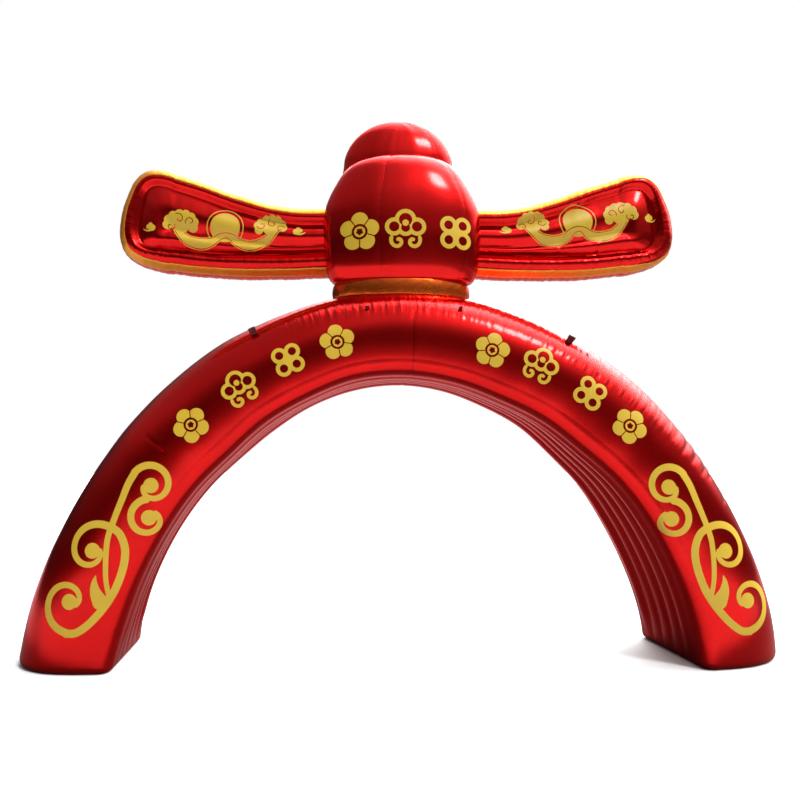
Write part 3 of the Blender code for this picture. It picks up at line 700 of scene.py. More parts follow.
def face_level(inset, span):
    """Half depth of a wing's face from the rim lobe over its groove and ridge to the spine."""
    groove_level = 1.0 - GROOVE_DEPTH
    fall = np.clip((inset - RIM_RADIUS) / (RIM_GROOVE - RIM_RADIUS), 0.0, 1.0)
    share = np.clip((inset - RIM_GROOVE) / (span - RIM_GROOVE), 0.0, 1.0)
    level = groove_level + (1.0 - SPINE_DEPTH - groove_level) * share
    ridge = level + RIDGE_SWELL * np.sin(math.pi * share) ** RIDGE_FULLNESS
    hollow = 1.0 - GROOVE_DEPTH * soft_step(0.0, 1.15, fall) / soft_step(0.0, 1.15, 1.0)
    return WING_HALF_DEPTH * np.where(inset <= RIM_GROOVE, hollow, ridge)


def wing_point(edge, middle, inset, depth, side):
    """Points of a wing at insets from its edge towards its spine."""
    span = np.linalg.norm(edge - middle, axis=-1)
    share = (inset / span)[..., None]
    place = edge + (middle - edge) * share
    outward = WING_LENGTH_RATIO[side] if side == "right" else -WING_LENGTH_RATIO[side]
    return np.stack((outward * place[..., 0], depth, place[..., 1]), axis=-1)


def make_wing(side):
    edge, middle, tilts = wing_stations()
    count = len(edge)
    span = np.linalg.norm(edge - middle, axis=1)
    rim = np.linspace(0.0, 90.0, 18)
    rim_inset, rim_depth = rim_profile(rim)
    groove = np.linspace(RIM_RADIUS, RIM_GROOVE, 8)[1:]
    shares = 0.5 - 0.5 * np.cos(np.linspace(0.0, math.pi, 24)[1:])
    inset = np.concatenate((
        np.tile(rim_inset, (count, 1)),
        np.tile(groove, (count, 1)),
        RIM_GROOVE + (span[:, None] - RIM_GROOVE) * shares[None, :],
    ), axis=1)
    depth = np.concatenate((
        np.tile(rim_depth, (count, 1)),
        face_level(inset[:, len(rim):], span[:, None]),
    ), axis=1)
    wide = edge[:, None, :] * np.ones((1, inset.shape[1], 1))
    hub = middle[:, None, :] * np.ones((1, inset.shape[1], 1))
    front = wing_point(wide, hub, inset, -depth, side)[:, ::-1]
    back = wing_point(wide, hub, inset, depth, side)[:, 1:]
    points = np.concatenate((front, back), axis=1)
    run = np.concatenate(([0.0], np.cumsum(np.linalg.norm(np.diff(edge, axis=0), axis=1))))[:, None]
    inward = np.concatenate((inset[:, ::-1], -inset[:, 1:]), axis=1)
    lower = soft_step(-0.1, -0.9, np.sin(np.radians(tilts)))[:, None]
    rooted = soft_step(0.0, 0.25, run) * (1.0 - soft_step(run.max() - 0.25, run.max(), run))
    on_rim = 1.0 - soft_step(0.10, 0.26, np.abs(inward))
    seed = 81 if side == "left" else 91
    folds = (0.0022 + 0.0028 * lower) * on_rim * waves(run, inward, 0.07, 0.4, seed)
    on_ridge = soft_step(0.24, 0.34, np.abs(inward))
    folds = folds + 0.0016 * on_ridge * waves(points[:, :, 0], points[:, :, 2], 0.16, 0.5, seed + 1)
    for crease in WING_CREASES[side]:
        across = (points[:, :, 0] - crease.x - 0.3 * (points[:, :, 2] - crease.z)) / crease.width
        along = (points[:, :, 2] - crease.z) / crease.length
        folds = folds - crease.drop * np.exp(-(across**2) - along**4) * (points[:, :, 1] < 0.0)
    folds = folds + 0.0050 * waves(points[:, :, 0], points[:, :, 2] + points[:, :, 1], 0.52, 0.3, seed + 2)
    calm = soft_step(0.0, 0.05, span[:, None] - np.abs(inward))
    folds = folds * np.maximum(calm, 0.0) * (0.35 + 0.65 * rooted)
    normal = outward_normals(points, closed=False)
    if (normal[:, : inset.shape[1] // 2, 1]).mean() > 0.0:
        normal = -normal
    points = points + normal * folds[:, :, None]
    along, around = grid_lengths(points, closed=False)
    values = {"pucker": 0.4 * on_rim}
    return close_up(skin(f"wing_{side}_skin", points, (along, around), closed=False, values=values))


def make_trim(side, wing_tree):
    """Gold strip sewn over the wing's front shoulder, gathered by its stitching."""
    edge, middle, tilts = wing_stations()
    inner = trim_tilt(tilts, side)
    shares = np.linspace(0.0, 1.0, 9)
    around = TRIM_OUTER_TILT + (inner[:, None] - TRIM_OUTER_TILT) * shares[None, :]
    inset, depth = rim_profile(around)
    wide = edge[:, None, :] * np.ones((1, len(shares), 1))
    hub = middle[:, None, :] * np.ones((1, len(shares), 1))
    base = wing_point(wide, hub, inset, -depth, side)
    under = np.zeros_like(base)
    over = np.zeros_like(base)
    for i in range(base.shape[0]):
        for j in range(base.shape[1]):
            place, normal, _, _ = wing_tree.find_nearest(Vector(base[i, j]))
            if normal.dot(Vector(base[i, j]) - Vector((base[i, j, 0], 0.0, hub[i, j, 1]))) < 0.0:
                normal = -normal
            under[i, j] = place + normal * TRIM_STAND_OFF
            over[i, j] = place + normal * (TRIM_STAND_OFF + TRIM_THICKNESS)
    points = np.concatenate((under[:, ::-1], over), axis=1)
    return skin(f"wing_trim_{side}_strip", points, grid_lengths(points), values={"pucker": 0.7})


# Tabs

def front_place(degrees, share):
    """Point on the tube's front face, and the directions along the tube and off the cloth."""
    angle = math.radians(degrees)
    outward = Vector((math.cos(angle), 0.0, math.sin(angle)))
    along = Vector((math.sin(angle), 0.0, -math.cos(angle)))
    low, middle, high = (
        outward * math.hypot(*on_front(degrees, place)) + Vector((0.0, -float(face_reach(place)), 0.0))
        for place in (share - SLOPE_PROBE, share, share + SLOPE_PROBE)
    )
    off_cloth = along.cross(high - low).normalized()
    return middle, along, off_cloth if off_cloth.y < 0.0 else -off_cloth


def make_tab(row):
    """Strip of webbing folded into a flat loop, both its ends sewn under the cloth."""
    point, along, off_cloth = front_place(row.degrees, row.share)
    across = off_cloth.cross(along).normalized()
    height = row.width * TAB_HEIGHT_RATIO
    turn = np.linspace(0.0, math.pi, 13)
    straight = np.linspace(-TAB_ROOT, height - TAB_HALF_THICKNESS, 7)
    outline = []
    for reach, order in ((TAB_HALF_THICKNESS, 1), (TAB_HALF_THICKNESS - TAB_LAYER, -1)):
        pinch = 0.0012 * np.sin(np.linspace(0.0, math.pi, len(straight)))
        up = np.stack((reach - pinch, straight), axis=1)
        bow = np.stack((reach * np.cos(turn), height - TAB_HALF_THICKNESS + reach * np.sin(turn)), axis=1)
        line = np.concatenate((up, bow[1:-1], up[::-1] * (-1.0, 1.0)))
        outline.append(line[::order])
    outline = np.concatenate(outline)
    places = np.linspace(-0.5, 0.5, 9)
    curve = 0.003 * np.cos(math.pi * places)
    points = (
        np.array(point)
        + places[:, None, None] * row.width * np.array(along)
        + (outline[None, :, :1] + curve[:, None, None]) * np.array(across)
        + outline[None, :, 1:] * np.array(off_cloth)
    )
    return skin(row.name.replace("tab_", "loop_"), points, grid_lengths(points))


# Prints, as shapes seen from the front

def to_segments(points, widths, places):
    """Distance from places to a line of points with a half width at each point."""
    points = np.asarray(points, float)
    widths = np.broadcast_to(widths, len(points)).astype(float)
    best = np.full(places.shape[:-1], 10.0)
    for start, end, w0, w1 in zip(points, points[1:], widths, widths[1:]):
        run = end - start
        square = max(float(run @ run), 1e-12)
        share = np.clip(((places - start) @ run) / square, 0.0, 1.0)
        gap = np.linalg.norm(places - start - share[..., None] * run, axis=-1)
        best = np.minimum(best, gap - (w0 + (w1 - w0) * share))
    return best


def to_disc(centre, radius, places):
    return np.linalg.norm(places - np.asarray(centre, float), axis=-1) - radius


def smooth_line(points, steps=12):
    """Finely spaced points on a smooth curve through a few points."""
    points = np.asarray(points, float)
    number = np.arange(len(points))
    fine = np.linspace(0, len(points) - 1, (len(points) - 1) * steps + 1)
    return np.stack([smooth_read(list(zip(number, column)), fine) for column in points.T], axis=1)


def curl(centre, start_degrees, turn_degrees, outer, inner, fall=0.85, steps=48):
    """Spiral from its outer end in to its core, about a centre."""
    share = np.linspace(0.0, 1.0, steps)
    angle = np.radians(start_degrees + turn_degrees * share)
    radius = outer + (inner - outer) * share**fall
    return np.asarray(centre) + radius[:, None] * np.stack((np.cos(angle), np.sin(angle)), axis=1)


def make_print(name, trees, shape, low, high, cell, place, material):
    """Thin printed layer: the part of a flat grid inside a shape, laid on the cloth behind it.

    shape gives the distance to the outline at (x, z), negative inside. place turns the shape's own
    coordinates into world x and z.
    """
    across = np.arange(low[0], high[0] + cell, cell)
    up = np.arange(low[1], high[1] + cell, cell)
    grid = np.stack(np.meshgrid(across, up, indexing="ij"), axis=-1)
    level = shape(grid)
    points = {}
    faces = []

    def corner(i, j):
        key = (i, j)
        if key not in points:
            points[key] = (len(points), grid[i, j])
        return points[key][0]

    def crossing(i, j, k, l):
        key = (i, j, k, l) if (i, j) < (k, l) else (k, l, i, j)
        if key not in points:
            a, b = level[key[0], key[1]], level[key[2], key[3]]
            share = a / (a - b)
            points[key] = (len(points), grid[key[0], key[1]] * (1.0 - share) + grid[key[2], key[3]] * share)
        return points[key][0]

    inside = level < 0.0
    cells = inside[:-1, :-1] | inside[1:, :-1] | inside[1:, 1:] | inside[:-1, 1:]
    for i, j in np.argwhere(cells):
        ring = ((i, j), (i + 1, j), (i + 1, j + 1), (i, j + 1))
        outline = []
        for here, there in zip(ring, ring[1:] + ring[:1]):
            if inside[here]:
                outline.append(corner(*here))
            if inside[here] != inside[there]:
                outline.append(crossing(*here, *there))
        if len(outline) >= 3:
            faces.append(outline)
    flat = np.array([point for _, point in points.values()])
    world = place(flat)
    verts = []
    normals = []
    for x, z in world:
        hit = None
        for tree, smooth in trees:
            spot, _, index, _ = tree.ray_cast(Vector((x, -3.0, z)), Vector((0.0, 1.0, 0.0)))
            if spot is not None and (hit is None or spot.y < hit[0].y):
                hit = (spot, smooth(spot, index))
        if hit is None:
            raise ValueError(f"{name}: nothing behind {x:.3f}, {z:.3f}")
        verts.append(hit[0] + hit[1] * PRINT_STAND_OFF)
        normals.append(hit[1])
    mesh = bpy.data.meshes.new(name)
    mesh.from_pydata(verts, [], faces)
    layer = mesh.uv_layers.new(name="cloth")
    numbers = np.zeros(len(mesh.loops), np.int32)
    mesh.loops.foreach_get("vertex_index", numbers)
    layer.uv.foreach_set("vector", world[numbers].astype(np.float32).ravel())
    mesh.shade_smooth()
    mesh.update()
    if mesh.polygons[0].normal.y > 0.0:
        mesh.flip_normals()
    mesh.normals_split_custom_set_from_vertices(normals)
    piece = bpy.data.objects.new(name, mesh)
    bpy.context.scene.collection.objects.link(piece)
    return finish_piece(piece, material)


def tree_with_normals(piece):
    """Search tree of a skin, and its smooth normal at a place on one of its faces."""
    mesh = piece.data
    normals = np.zeros(len(mesh.vertices) * 3, np.float32)
    mesh.vertices.foreach_get("normal", normals)
    normals = normals.reshape(-1, 3)
    faces = [tuple(face.vertices) for face in mesh.polygons if len(face.vertices) <= 4]
    places = np.zeros(len(mesh.vertices) * 3, np.float32)
    mesh.vertices.foreach_get("co", places)
    places = places.reshape(-1, 3)

    def smooth(spot, index):
        corners = list(faces[index])
        gaps = np.linalg.norm(places[corners] - np.array(spot), axis=1)
        weight = 1.0 / np.maximum(gaps, 1e-5) ** 2
        return Vector((weight[:, None] * normals[corners]).sum(axis=0)).normalized()

    return BVHTree.FromPolygons(places.tolist(), faces), smooth


# Scroll ornament of the left leg, drawn standing upright: +x towards the passage, +z up the leg
SCROLL_STROKE = 0.038
SCROLL_CORE = 0.076
Curl = namedtuple("Curl", "centre start turn outer fall")
SCROLL_CURLS = (
    Curl((0.17, 0.735), 164.0, -312.0, 0.21, 1.5),
    Curl((0.275, 0.435), 121.0, 300.0, 0.185, 1.8),
    Curl((-0.11, -0.065), 74.0, 310.0, 0.29, 0.85),
    Curl((-0.12, -0.60), 288.0, -290.0, 0.295, 0.9),
)
SCROLL_STEM = (
    (0.22, -0.42), (0.12, -0.26), (0.03, -0.05), (-0.02, 0.12),
    (-0.035, 0.32), (-0.04, 0.50), (-0.045, 0.66), (-0.03, 0.79),
)
SCROLL_BOW = (
    (-0.03, 0.217), (0.075, 0.185), (0.17, 0.085), (0.22, -0.04), (0.243, -0.19),
    (0.243, -0.36), (0.21, -0.54), (0.145, -0.72), (0.066, -0.84), (-0.02, -0.885),
)
SCROLL_LEAF = ((0.02, -0.27), (0.035, -0.34), (0.08, -0.42), (0.16, -0.49))


def scroll_shape(places):
    """Curling vine: a stem and a bow that cross, four spirals with round cores, and a leaf."""
    level = np.full(places.shape[:-1], 10.0)
    for spiral in SCROLL_CURLS:
        line = curl(spiral.centre, spiral.start, spiral.turn, spiral.outer, SCROLL_CORE, spiral.fall)
        widths = np.linspace(SCROLL_STROKE, 0.6 * SCROLL_STROKE, len(line))
        level = np.minimum(level, to_segments(line, widths, places))
        level = np.minimum(level, to_disc(spiral.centre, SCROLL_CORE, places))
    stem = smooth_line(SCROLL_STEM)
    level = np.minimum(level, to_segments(stem, np.linspace(0.022, SCROLL_STROKE, len(stem)), places))
    level = np.minimum(level, to_segments(smooth_line(SCROLL_BOW), SCROLL_STROKE, places))
    leaf = smooth_line(SCROLL_LEAF)
    return np.minimum(level, to_segments(leaf, np.linspace(0.004, 0.075, len(leaf)), places))


def blossom_shape(places):
    """Round five-petalled blossom with a ring at its heart."""
    angle = np.arctan2(places[..., 0], places[..., 1])
    level = np.full(places.shape[:-1], 10.0)
    for k in range(5):
        turn = 2.0 * math.pi * k / 5.0
        level = np.minimum(level, to_disc((0.105 * math.sin(turn), 0.105 * math.cos(turn)), 0.078, places))
    radius = np.linalg.norm(places, axis=-1)
    spoke = np.abs(np.sin(2.5 * angle + 0.5 * math.pi)) * radius
    level = np.maximum(level, -(np.where(radius > 0.075, spoke * 0.4, 1.0) - 0.005))
    level = np.maximum(level, -(np.abs(radius - 0.062) - 0.011))
    return level


def knot_shape(places):
    """Four looped rings around a small square, like a plain tied knot."""
    level = np.full(places.shape[:-1], 10.0)
    for k in range(4):
        turn = math.radians(45.0 + 90.0 * k)
        gap = to_disc((0.098 * math.cos(turn), 0.098 * math.sin(turn)), 0.062, places)
        level = np.minimum(level, np.abs(gap) - 0.020)
    slants = np.abs(places[..., 0] + places[..., 1]), np.abs(places[..., 0] - places[..., 1])
    square = np.maximum(*slants) - 0.060
    return np.minimum(level, square)


def cloud_head_shape(places):
    """Outline of a rounded three-lobed cloud over two inward curls, with a drop at its heart."""
    lobes = np.full(places.shape[:-1], 10.0)
    discs = (((0.0, 0.095), 0.080), ((-0.105, 0.03), 0.066), ((0.105, 0.03), 0.066), ((0.0, 0.02), 0.060))
    for centre, radius in discs:
        lobes = np.minimum(lobes, to_disc(centre, radius, places))
    level = np.abs(lobes) - 0.019
    for mirror in (-1.0, 1.0):
        tail = curl((0.070 * mirror, -0.105), 90.0 - 60.0 * mirror, -mirror * 300.0, 0.070, 0.016)
        level = np.minimum(level, to_segments(tail, 0.017, places))
    return np.minimum(level, to_disc((0.0, 0.065), 0.030, places))


def turned(centre, degrees, scale=1.0, mirror=False):
    """Placing of a shape: its own coordinates turned, scaled and moved to world x and z."""
    angle = math.radians(degrees)
    turn = np.array(((math.cos(angle), -math.sin(angle)), (math.sin(angle), math.cos(angle))))
    flip = np.array((-1.0 if mirror else 1.0, 1.0))

    def place(flat):
        return np.asarray(centre, float) + (flat * flip * scale) @ turn.T

    return place


def on_front(degrees, share):
    """World x and z of a place on the arch's front face."""
    inner = float(arch_value("inner", degrees)) + 0.5 * float(arch_value("lean", degrees))
    radius = inner + (float(arch_value("outer", degrees)) - inner) * share
    return radius * math.cos(math.radians(degrees)), radius * math.sin(math.radians(degrees))


ARCH_ORNAMENTS = (
    (131.8, 0.46), (121.1, 0.42), (111.3, 0.44), (102.1, 0.43),
    (74.6, 0.43), (65.7, 0.47), (55.7, 0.49), (46.8, 0.50),
)
HAT_ORNAMENTS = ((-0.466, 4.48), (0.017, 4.49), (0.560, 4.48))
ORNAMENT_SHAPES = (blossom_shape, cloud_head_shape, knot_shape, blossom_shape)


# Sun and clouds of a wing, drawn for the left wing about the sun's centre

def cloud(centre, size, mirror):
    """Discs of a scalloped cloud and the curls cut into it."""
    lobes = []
    for degrees in (205.0, 172.0, 140.0, 112.0, 84.0, 56.0, 26.0, -6.0):
        turn = math.radians(degrees)
        across = centre[0] + mirror * size * 0.140 * math.cos(turn)
        lobes.append(((across, centre[1] + size * 0.098 * math.sin(turn)), 0.048 * size))
    lobes.append((centre, 0.095 * size))
    return lobes


def sky_shape(places):
    """A sun behind a wave ribbon that rises into a cloud at each end."""
    sun = to_disc((0.0, 0.0), 0.168, places)
    ring = np.abs(to_disc((0.0, 0.0), 0.205, places)) - 0.0055
    ring = np.maximum(ring, -(places[..., 1] + 0.13))
    level = np.minimum(sun, ring)
    ribbon = smooth_line([
        (-0.60, 0.09), (-0.53, -0.03), (-0.42, -0.145), (-0.28, -0.185),
        (-0.15, -0.165), (-0.07, -0.105), (0.0, -0.082),
        (0.07, -0.105), (0.15, -0.170), (0.28, -0.205), (0.42, -0.17), (0.53, -0.08), (0.60, 0.0),
    ])
    wide = 0.022 + 0.030 * np.sin(np.linspace(0.0, 2.0 * math.pi, len(ribbon))) ** 2
    under = to_segments(ribbon, wide + 0.016, places)
    level = np.maximum(level, -under)
    level = np.minimum(level, to_segments(ribbon, wide, places))
    edge = np.abs(to_segments(ribbon, wide + 0.013, places)) - 0.0045
    level = np.minimum(level, np.where(places[..., 1] < 0.02, edge, 10.0))
    cuts = np.full(places.shape[:-1], 10.0)
    for centre, size, mirror in (((-0.50, 0.045), 1.08, -1.0), ((0.51, 0.010), 1.0, 1.0)):
        for spot, radius in cloud(centre, size, mirror):
            level = np.minimum(level, to_disc(spot, radius, places))
        curls = ((-0.10, 0.02, 0.055, 200.0), (0.02, 0.05, 0.06, 120.0), (0.11, -0.02, 0.05, 20.0))
        for dx, dz, r, start in curls:
            core = (centre[0] + mirror * dx * size, centre[1] + dz * size)
            spiral = curl(core, start, 300.0 * mirror, r * size, 0.012)
            cuts = np.minimum(cuts, to_segments(spiral, 0.0045, places))
        tail = centre[0] + 0.29 * size * mirror
        for dx, dz, radius in ((0.0, -0.055, 0.036), (0.045, -0.040, 0.028), (0.022, -0.020, 0.026)):
            level = np.minimum(level, to_disc((tail + dx * mirror, centre[1] + dz), radius, places))
        wisp = smooth_line([
            (tail - 0.01 * mirror, centre[1] - 0.075), (tail + 0.06 * mirror, centre[1] - 0.085),
            (tail + 0.12 * mirror, centre[1] - 0.055),
        ])
        level = np.minimum(level, to_segments(wisp, np.linspace(0.016, 0.003, len(wisp)), places))
    return np.maximum(level, -cuts)


# Materials

class Nodes:
    """Short hand for building the nodes of a material or a world."""

    def __init__(self, owner):
        owner.use_nodes = True
        self.owner = owner
        self.tree = owner.node_tree
        self.shader = self.tree.nodes.get("Principled BSDF")

    def add(self, kind, **settings):
        node = self.tree.nodes.new(kind)
        for key, value in settings.items():
            setattr(node, key, value)
        return node

    def link(self, source, target):
        self.tree.links.new(source, target)
        return target

    def set(self, **values):
        for key, value in values.items():
            self.shader.inputs[key.replace("_", " ")].default_value = value

    def math(self, operation, first, second=None, clamp=False):
        node = self.add("ShaderNodeMath", operation=operation, use_clamp=clamp)
        for socket, value in zip(node.inputs, (first, second)):
            if value is None:
                continue
            if isinstance(value, (int, float)):
                socket.default_value = value
            else:
                self.link(value, socket)
        return node.outputs[0]

    def value(self, name):
        return self.add("ShaderNodeAttribute", attribute_name=name).outputs["Fac"]

    def noise(self, vector, scale, detail=3.0, roughness=0.5):
        node = self.add("ShaderNodeTexNoise")
        node.inputs["Scale"].default_value = scale
        node.inputs["Detail"].default_value = detail
        node.inputs["Roughness"].default_value = roughness
        self.link(vector, node.inputs["Vector"])
        return node.outputs["Fac"]

    def stretched(self, vector, scale):
        node = self.add("ShaderNodeMapping")
        node.inputs["Scale"].default_value = scale
        self.link(vector, node.inputs["Vector"])
        return node.outputs["Vector"]

    def bump(self, height, distance, before=None):
        node = self.add("ShaderNodeBump")
        node.inputs["Distance"].default_value = distance
        node.inputs["Strength"].default_value = 1.0
        self.link(height, node.inputs["Height"])
        if before is not None:
            self.link(before, node.inputs["Normal"])
        return node.outputs["Normal"]

    def range(self, value, low, high, to_low, to_high, kind="LINEAR"):
        node = self.add("ShaderNodeMapRange", interpolation_type=kind)
        for key, number in (("From Min", low), ("From Max", high), ("To Min", to_low), ("To Max", to_high)):
            node.inputs[key].default_value = number
        self.link(value, node.inputs["Value"])
        return node.outputs["Result"]

    def mix(self, factor, first, second):
        node = self.add("ShaderNodeMix", data_type="RGBA")
        sockets = (node.inputs["Factor"], node.inputs["A"], node.inputs["B"])
        for socket, value in zip(sockets, (factor, first, second)):
            if isinstance(value, tuple):
                socket.default_value = value
            elif isinstance(value, (int, float)):
                socket.default_value = value
            else:
                self.link(value, socket)
        return [output for output in node.outputs if output.type == "RGBA"][0]

    def weave(self, vector, pitch):
        """Fine crossing threads as a height."""
        total = None
        for direction in ("X", "Y"):
            wave = self.add(
                "ShaderNodeTexWave", wave_type="BANDS", bands_direction=direction, wave_profile="SIN"
            )
            wave.inputs["Scale"].default_value = 0.314 / pitch
            self.link(vector, wave.inputs["Vector"])
            band = wave.outputs["Fac"]
            total = band if total is None else self.math("MULTIPLY", total, band)
        return total


def cloth_material(name, colour, deep, metallic, roughness, gathered=0.012):
    """Woven cloth with a shiny film: fine weave, crinkles, puckers where it is gathered, sewn seams."""
    n = Nodes(bpy.data.materials.new(name))
    cloth = n.add("ShaderNodeUVMap", uv_map="cloth").outputs["UV"]
    tone = n.noise(cloth, 1.3, 4.0, 0.6)
    grain = n.noise(cloth, 38.0, 2.0, 0.5)
    seam = n.math("ABSOLUTE", n.value("seam"))
    stitched = n.range(seam, 0.003, 0.007, 1.0, 0.0)
    shade = n.mix(n.range(tone, 0.35, 0.7, 0.0, 1.0), colour, deep)
    shade = n.mix(n.math("MULTIPLY", stitched, 0.55), shade, tuple(0.25 * c for c in colour[:3]) + (1.0,))
    n.link(shade, n.shader.inputs["Base Color"])
    uneven = n.math("ADD", n.math("MULTIPLY", tone, 0.7), n.math("MULTIPLY", grain, 0.3))
    n.link(n.range(uneven, 0.3, 0.7, roughness - 0.04, roughness + 0.05), n.shader.inputs["Roughness"])
    n.set(Metallic=metallic, Specular_Tint=(1.0, 0.3, 0.3, 1.0))
    n.set(Coat_Weight=0.6, Coat_Roughness=0.16, Coat_IOR=1.3)
    normal = n.bump(n.weave(cloth, 0.0016), 0.00005)
    normal = n.bump(n.noise(n.stretched(cloth, (5.0, 2.4, 1.0)), 1.0, 2.0, 0.5), 0.0012, normal)
    gathers = n.noise(n.stretched(cloth, (30.0, 2.2, 1.0)), 1.0, 2.0, 0.5)
    normal = n.bump(n.math("MULTIPLY", gathers, n.value("pucker")), gathered, normal)
    drawn = n.noise(n.stretched(cloth, (0.5, 42.0, 1.0)), 1.0, 1.0, 0.5)
    normal = n.bump(n.math("MULTIPLY", drawn, n.value("under")), 0.004, normal)
    normal = n.bump(n.range(seam, 0.0, 0.006, 0.0, 1.0), 0.0012, normal)
    n.link(normal, n.shader.inputs["Normal"])
    return n.owner


def print_material():
    n = Nodes(bpy.data.materials.new("gold_print"))
    cloth = n.add("ShaderNodeUVMap", uv_map="cloth").outputs["UV"]
    tone = n.noise(cloth, 3.0, 4.0, 0.6)
    n.link(n.mix(tone, (0.60, 0.40, 0.025, 1.0), (0.54, 0.34, 0.018, 1.0)), n.shader.inputs["Base Color"])
    n.link(n.range(n.noise(cloth, 60.0), 0.3, 0.7, 0.38, 0.5), n.shader.inputs["Roughness"])
    n.set(Metallic=0.0, Specular_IOR_Level=0.5)
    n.link(n.bump(n.weave(cloth, 0.0016), 0.0001), n.shader.inputs["Normal"])
    return n.owner


def webbing_material():
    n = Nodes(bpy.data.materials.new("webbing_weave"))
    cloth = n.add("ShaderNodeUVMap", uv_map="cloth").outputs["UV"]
    tone = n.noise(cloth, 60.0)
    n.link(n.mix(tone, (0.12, 0.004, 0.008, 1.0), (0.06, 0.002, 0.004, 1.0)), n.shader.inputs["Base Color"])
    n.set(Roughness=0.7)
    n.link(n.bump(n.weave(cloth, 0.0024), 0.0008), n.shader.inputs["Normal"])
    return n.owner


def floor_material():
    """Pale floor to the eye; for reflections and bounced light its colour is painted light and shadow:
    painted sunlit ground brightest in front, a black painted shadow in and near the arch's passage, dim far
    to the left and faint behind.
    """
    n = Nodes(bpy.data.materials.new("pale_floor"))
    place = n.add("ShaderNodeTexCoord").outputs["Object"]
    parts = n.add("ShaderNodeSeparateXYZ")
    n.link(place, parts.inputs[0])
    # Painted light and shadow, seen only in reflections and bounced light: bright in front, black under and
    # beside the arch, dim far left and behind
    front = n.range(parts.outputs["Y"], -1.8, -0.8, 0.36, 0.0, "SMOOTHSTEP")
    right = n.range(parts.outputs["X"], 7.0, 13.0, 1.0, 0.0, "SMOOTHSTEP")
    left = n.range(parts.outputs["X"], -7.5, -4.5, 0.22, 0.0, "SMOOTHSTEP")
    back = n.range(parts.outputs["Y"], 1.5, 4.5, 0.06, 0.16, "SMOOTHSTEP")
    level = n.math("MAXIMUM", n.math("MULTIPLY", front, right), left)
    level = n.math("MAXIMUM", level, back)
    painted_light_and_shadow = n.mix(level, (0.0, 0.0, 0.0, 1.0), (1.0, 1.0, 1.0, 1.0))
    seen = n.mix(n.noise(place, 0.6), (FLOOR_TONE,) * 3 + (1.0,), (FLOOR_TONE - 0.01,) * 3 + (1.0,))
    eye = n.add("ShaderNodeLightPath").outputs["Is Camera Ray"]
    n.link(n.mix(eye, painted_light_and_shadow, seen), n.shader.inputs["Base Color"])
    n.set(Roughness=0.8)
    return n.owner


# Light, floor and camera

FLOOR_TONE = 0.78
BACKGROUND_TONE = 1.0
# Brightness of the sky by the upward part of its direction, on its dark and bright side, and its lobe
SKY_LEVELS = (
    (-1.0, 0.50), (-0.22, 0.40), (-0.10, 0.28), (-0.02, 0.16), (0.04, 0.09), (0.16, 0.07), (0.34, 0.26),
    (0.55, 0.75), (1.0, 0.85),
)
SKY_SIDES = (0.5, 1.2)
SKY_LOBE_TOWARDS = (0.45, 0.50, 0.74)
SKY_LOBE_LEVEL = 11.0


def area_light(name, place, target, size, power, colour=(1.0, 1.0, 1.0)):
    light = bpy.data.lights.new(name, "AREA")
    light.size = size
    light.energy = power
    light.color = colour
    lamp = bpy.data.objects.new(name, light)
    lamp.location = place
    lamp.rotation_euler = (Vector(target) - Vector(place)).to_track_quat("-Z", "Y").to_euler()
    bpy.context.scene.collection.objects.link(lamp)
    return lamp


def sun_light(towards, strength, spread):
    """Broad key light from a direction."""
    light = bpy.data.lights.new("key", "SUN")
    light.energy = strength
    light.angle = spread
    lamp = bpy.data.objects.new("key", light)
    lamp.rotation_euler = Vector(towards).to_track_quat("Z", "Y").to_euler()
    bpy.context.scene.collection.objects.link(lamp)


def studio_world():
    """Pale background to the eye; for the cloth, a soft sky that is brightest behind on the right."""
    world = bpy.data.worlds.new("studio")
    bpy.context.scene.world = world
    n = Nodes(world)
    n.tree.nodes.clear()
    direction = n.add("ShaderNodeTexCoord").outputs["Generated"]
    parts = n.add("ShaderNodeSeparateXYZ")
    n.link(direction, parts.inputs[0])
    ramp = n.add("ShaderNodeValToRGB")
    n.link(n.range(parts.outputs["Z"], -1.0, 1.0, 0.0, 1.0), ramp.inputs["Fac"])
    elements = ramp.color_ramp.elements
    while len(elements) > 1:
        elements.remove(elements[-1])
    for index, (height, level) in enumerate(SKY_LEVELS):
        element = elements[0] if index == 0 else elements.new(0.5 * (height + 1.0))
        element.position = 0.5 * (height + 1.0)
        element.color = (level, level, level, 1.0)
    side = n.range(parts.outputs["X"], -0.35, 0.25, *SKY_SIDES, "SMOOTHSTEP")
    toward = n.add("ShaderNodeVectorMath", operation="DOT_PRODUCT")
    toward.inputs[1].default_value = SKY_LOBE_TOWARDS
    n.link(direction, toward.inputs[0])
    lobe = n.range(toward.outputs["Value"], 0.55, 0.98, 1.0, SKY_LOBE_LEVEL, "SMOOTHSTEP")
    light = n.add("ShaderNodeBackground")
    n.link(ramp.outputs["Color"], light.inputs["Color"])
    n.link(n.math("MULTIPLY", side, lobe), light.inputs["Strength"])
    plain = n.add("ShaderNodeBackground")
    plain.inputs["Color"].default_value = (BACKGROUND_TONE,) * 3 + (1.0,)
    mix = n.add("ShaderNodeMixShader")
    n.link(n.add("ShaderNodeLightPath").outputs["Is Camera Ray"], mix.inputs["Fac"])
    n.link(light.outputs["Background"], mix.inputs[1])
    n.link(plain.outputs["Background"], mix.inputs[2])
    n.link(mix.outputs["Shader"], n.add("ShaderNodeOutputWorld").inputs["Surface"])


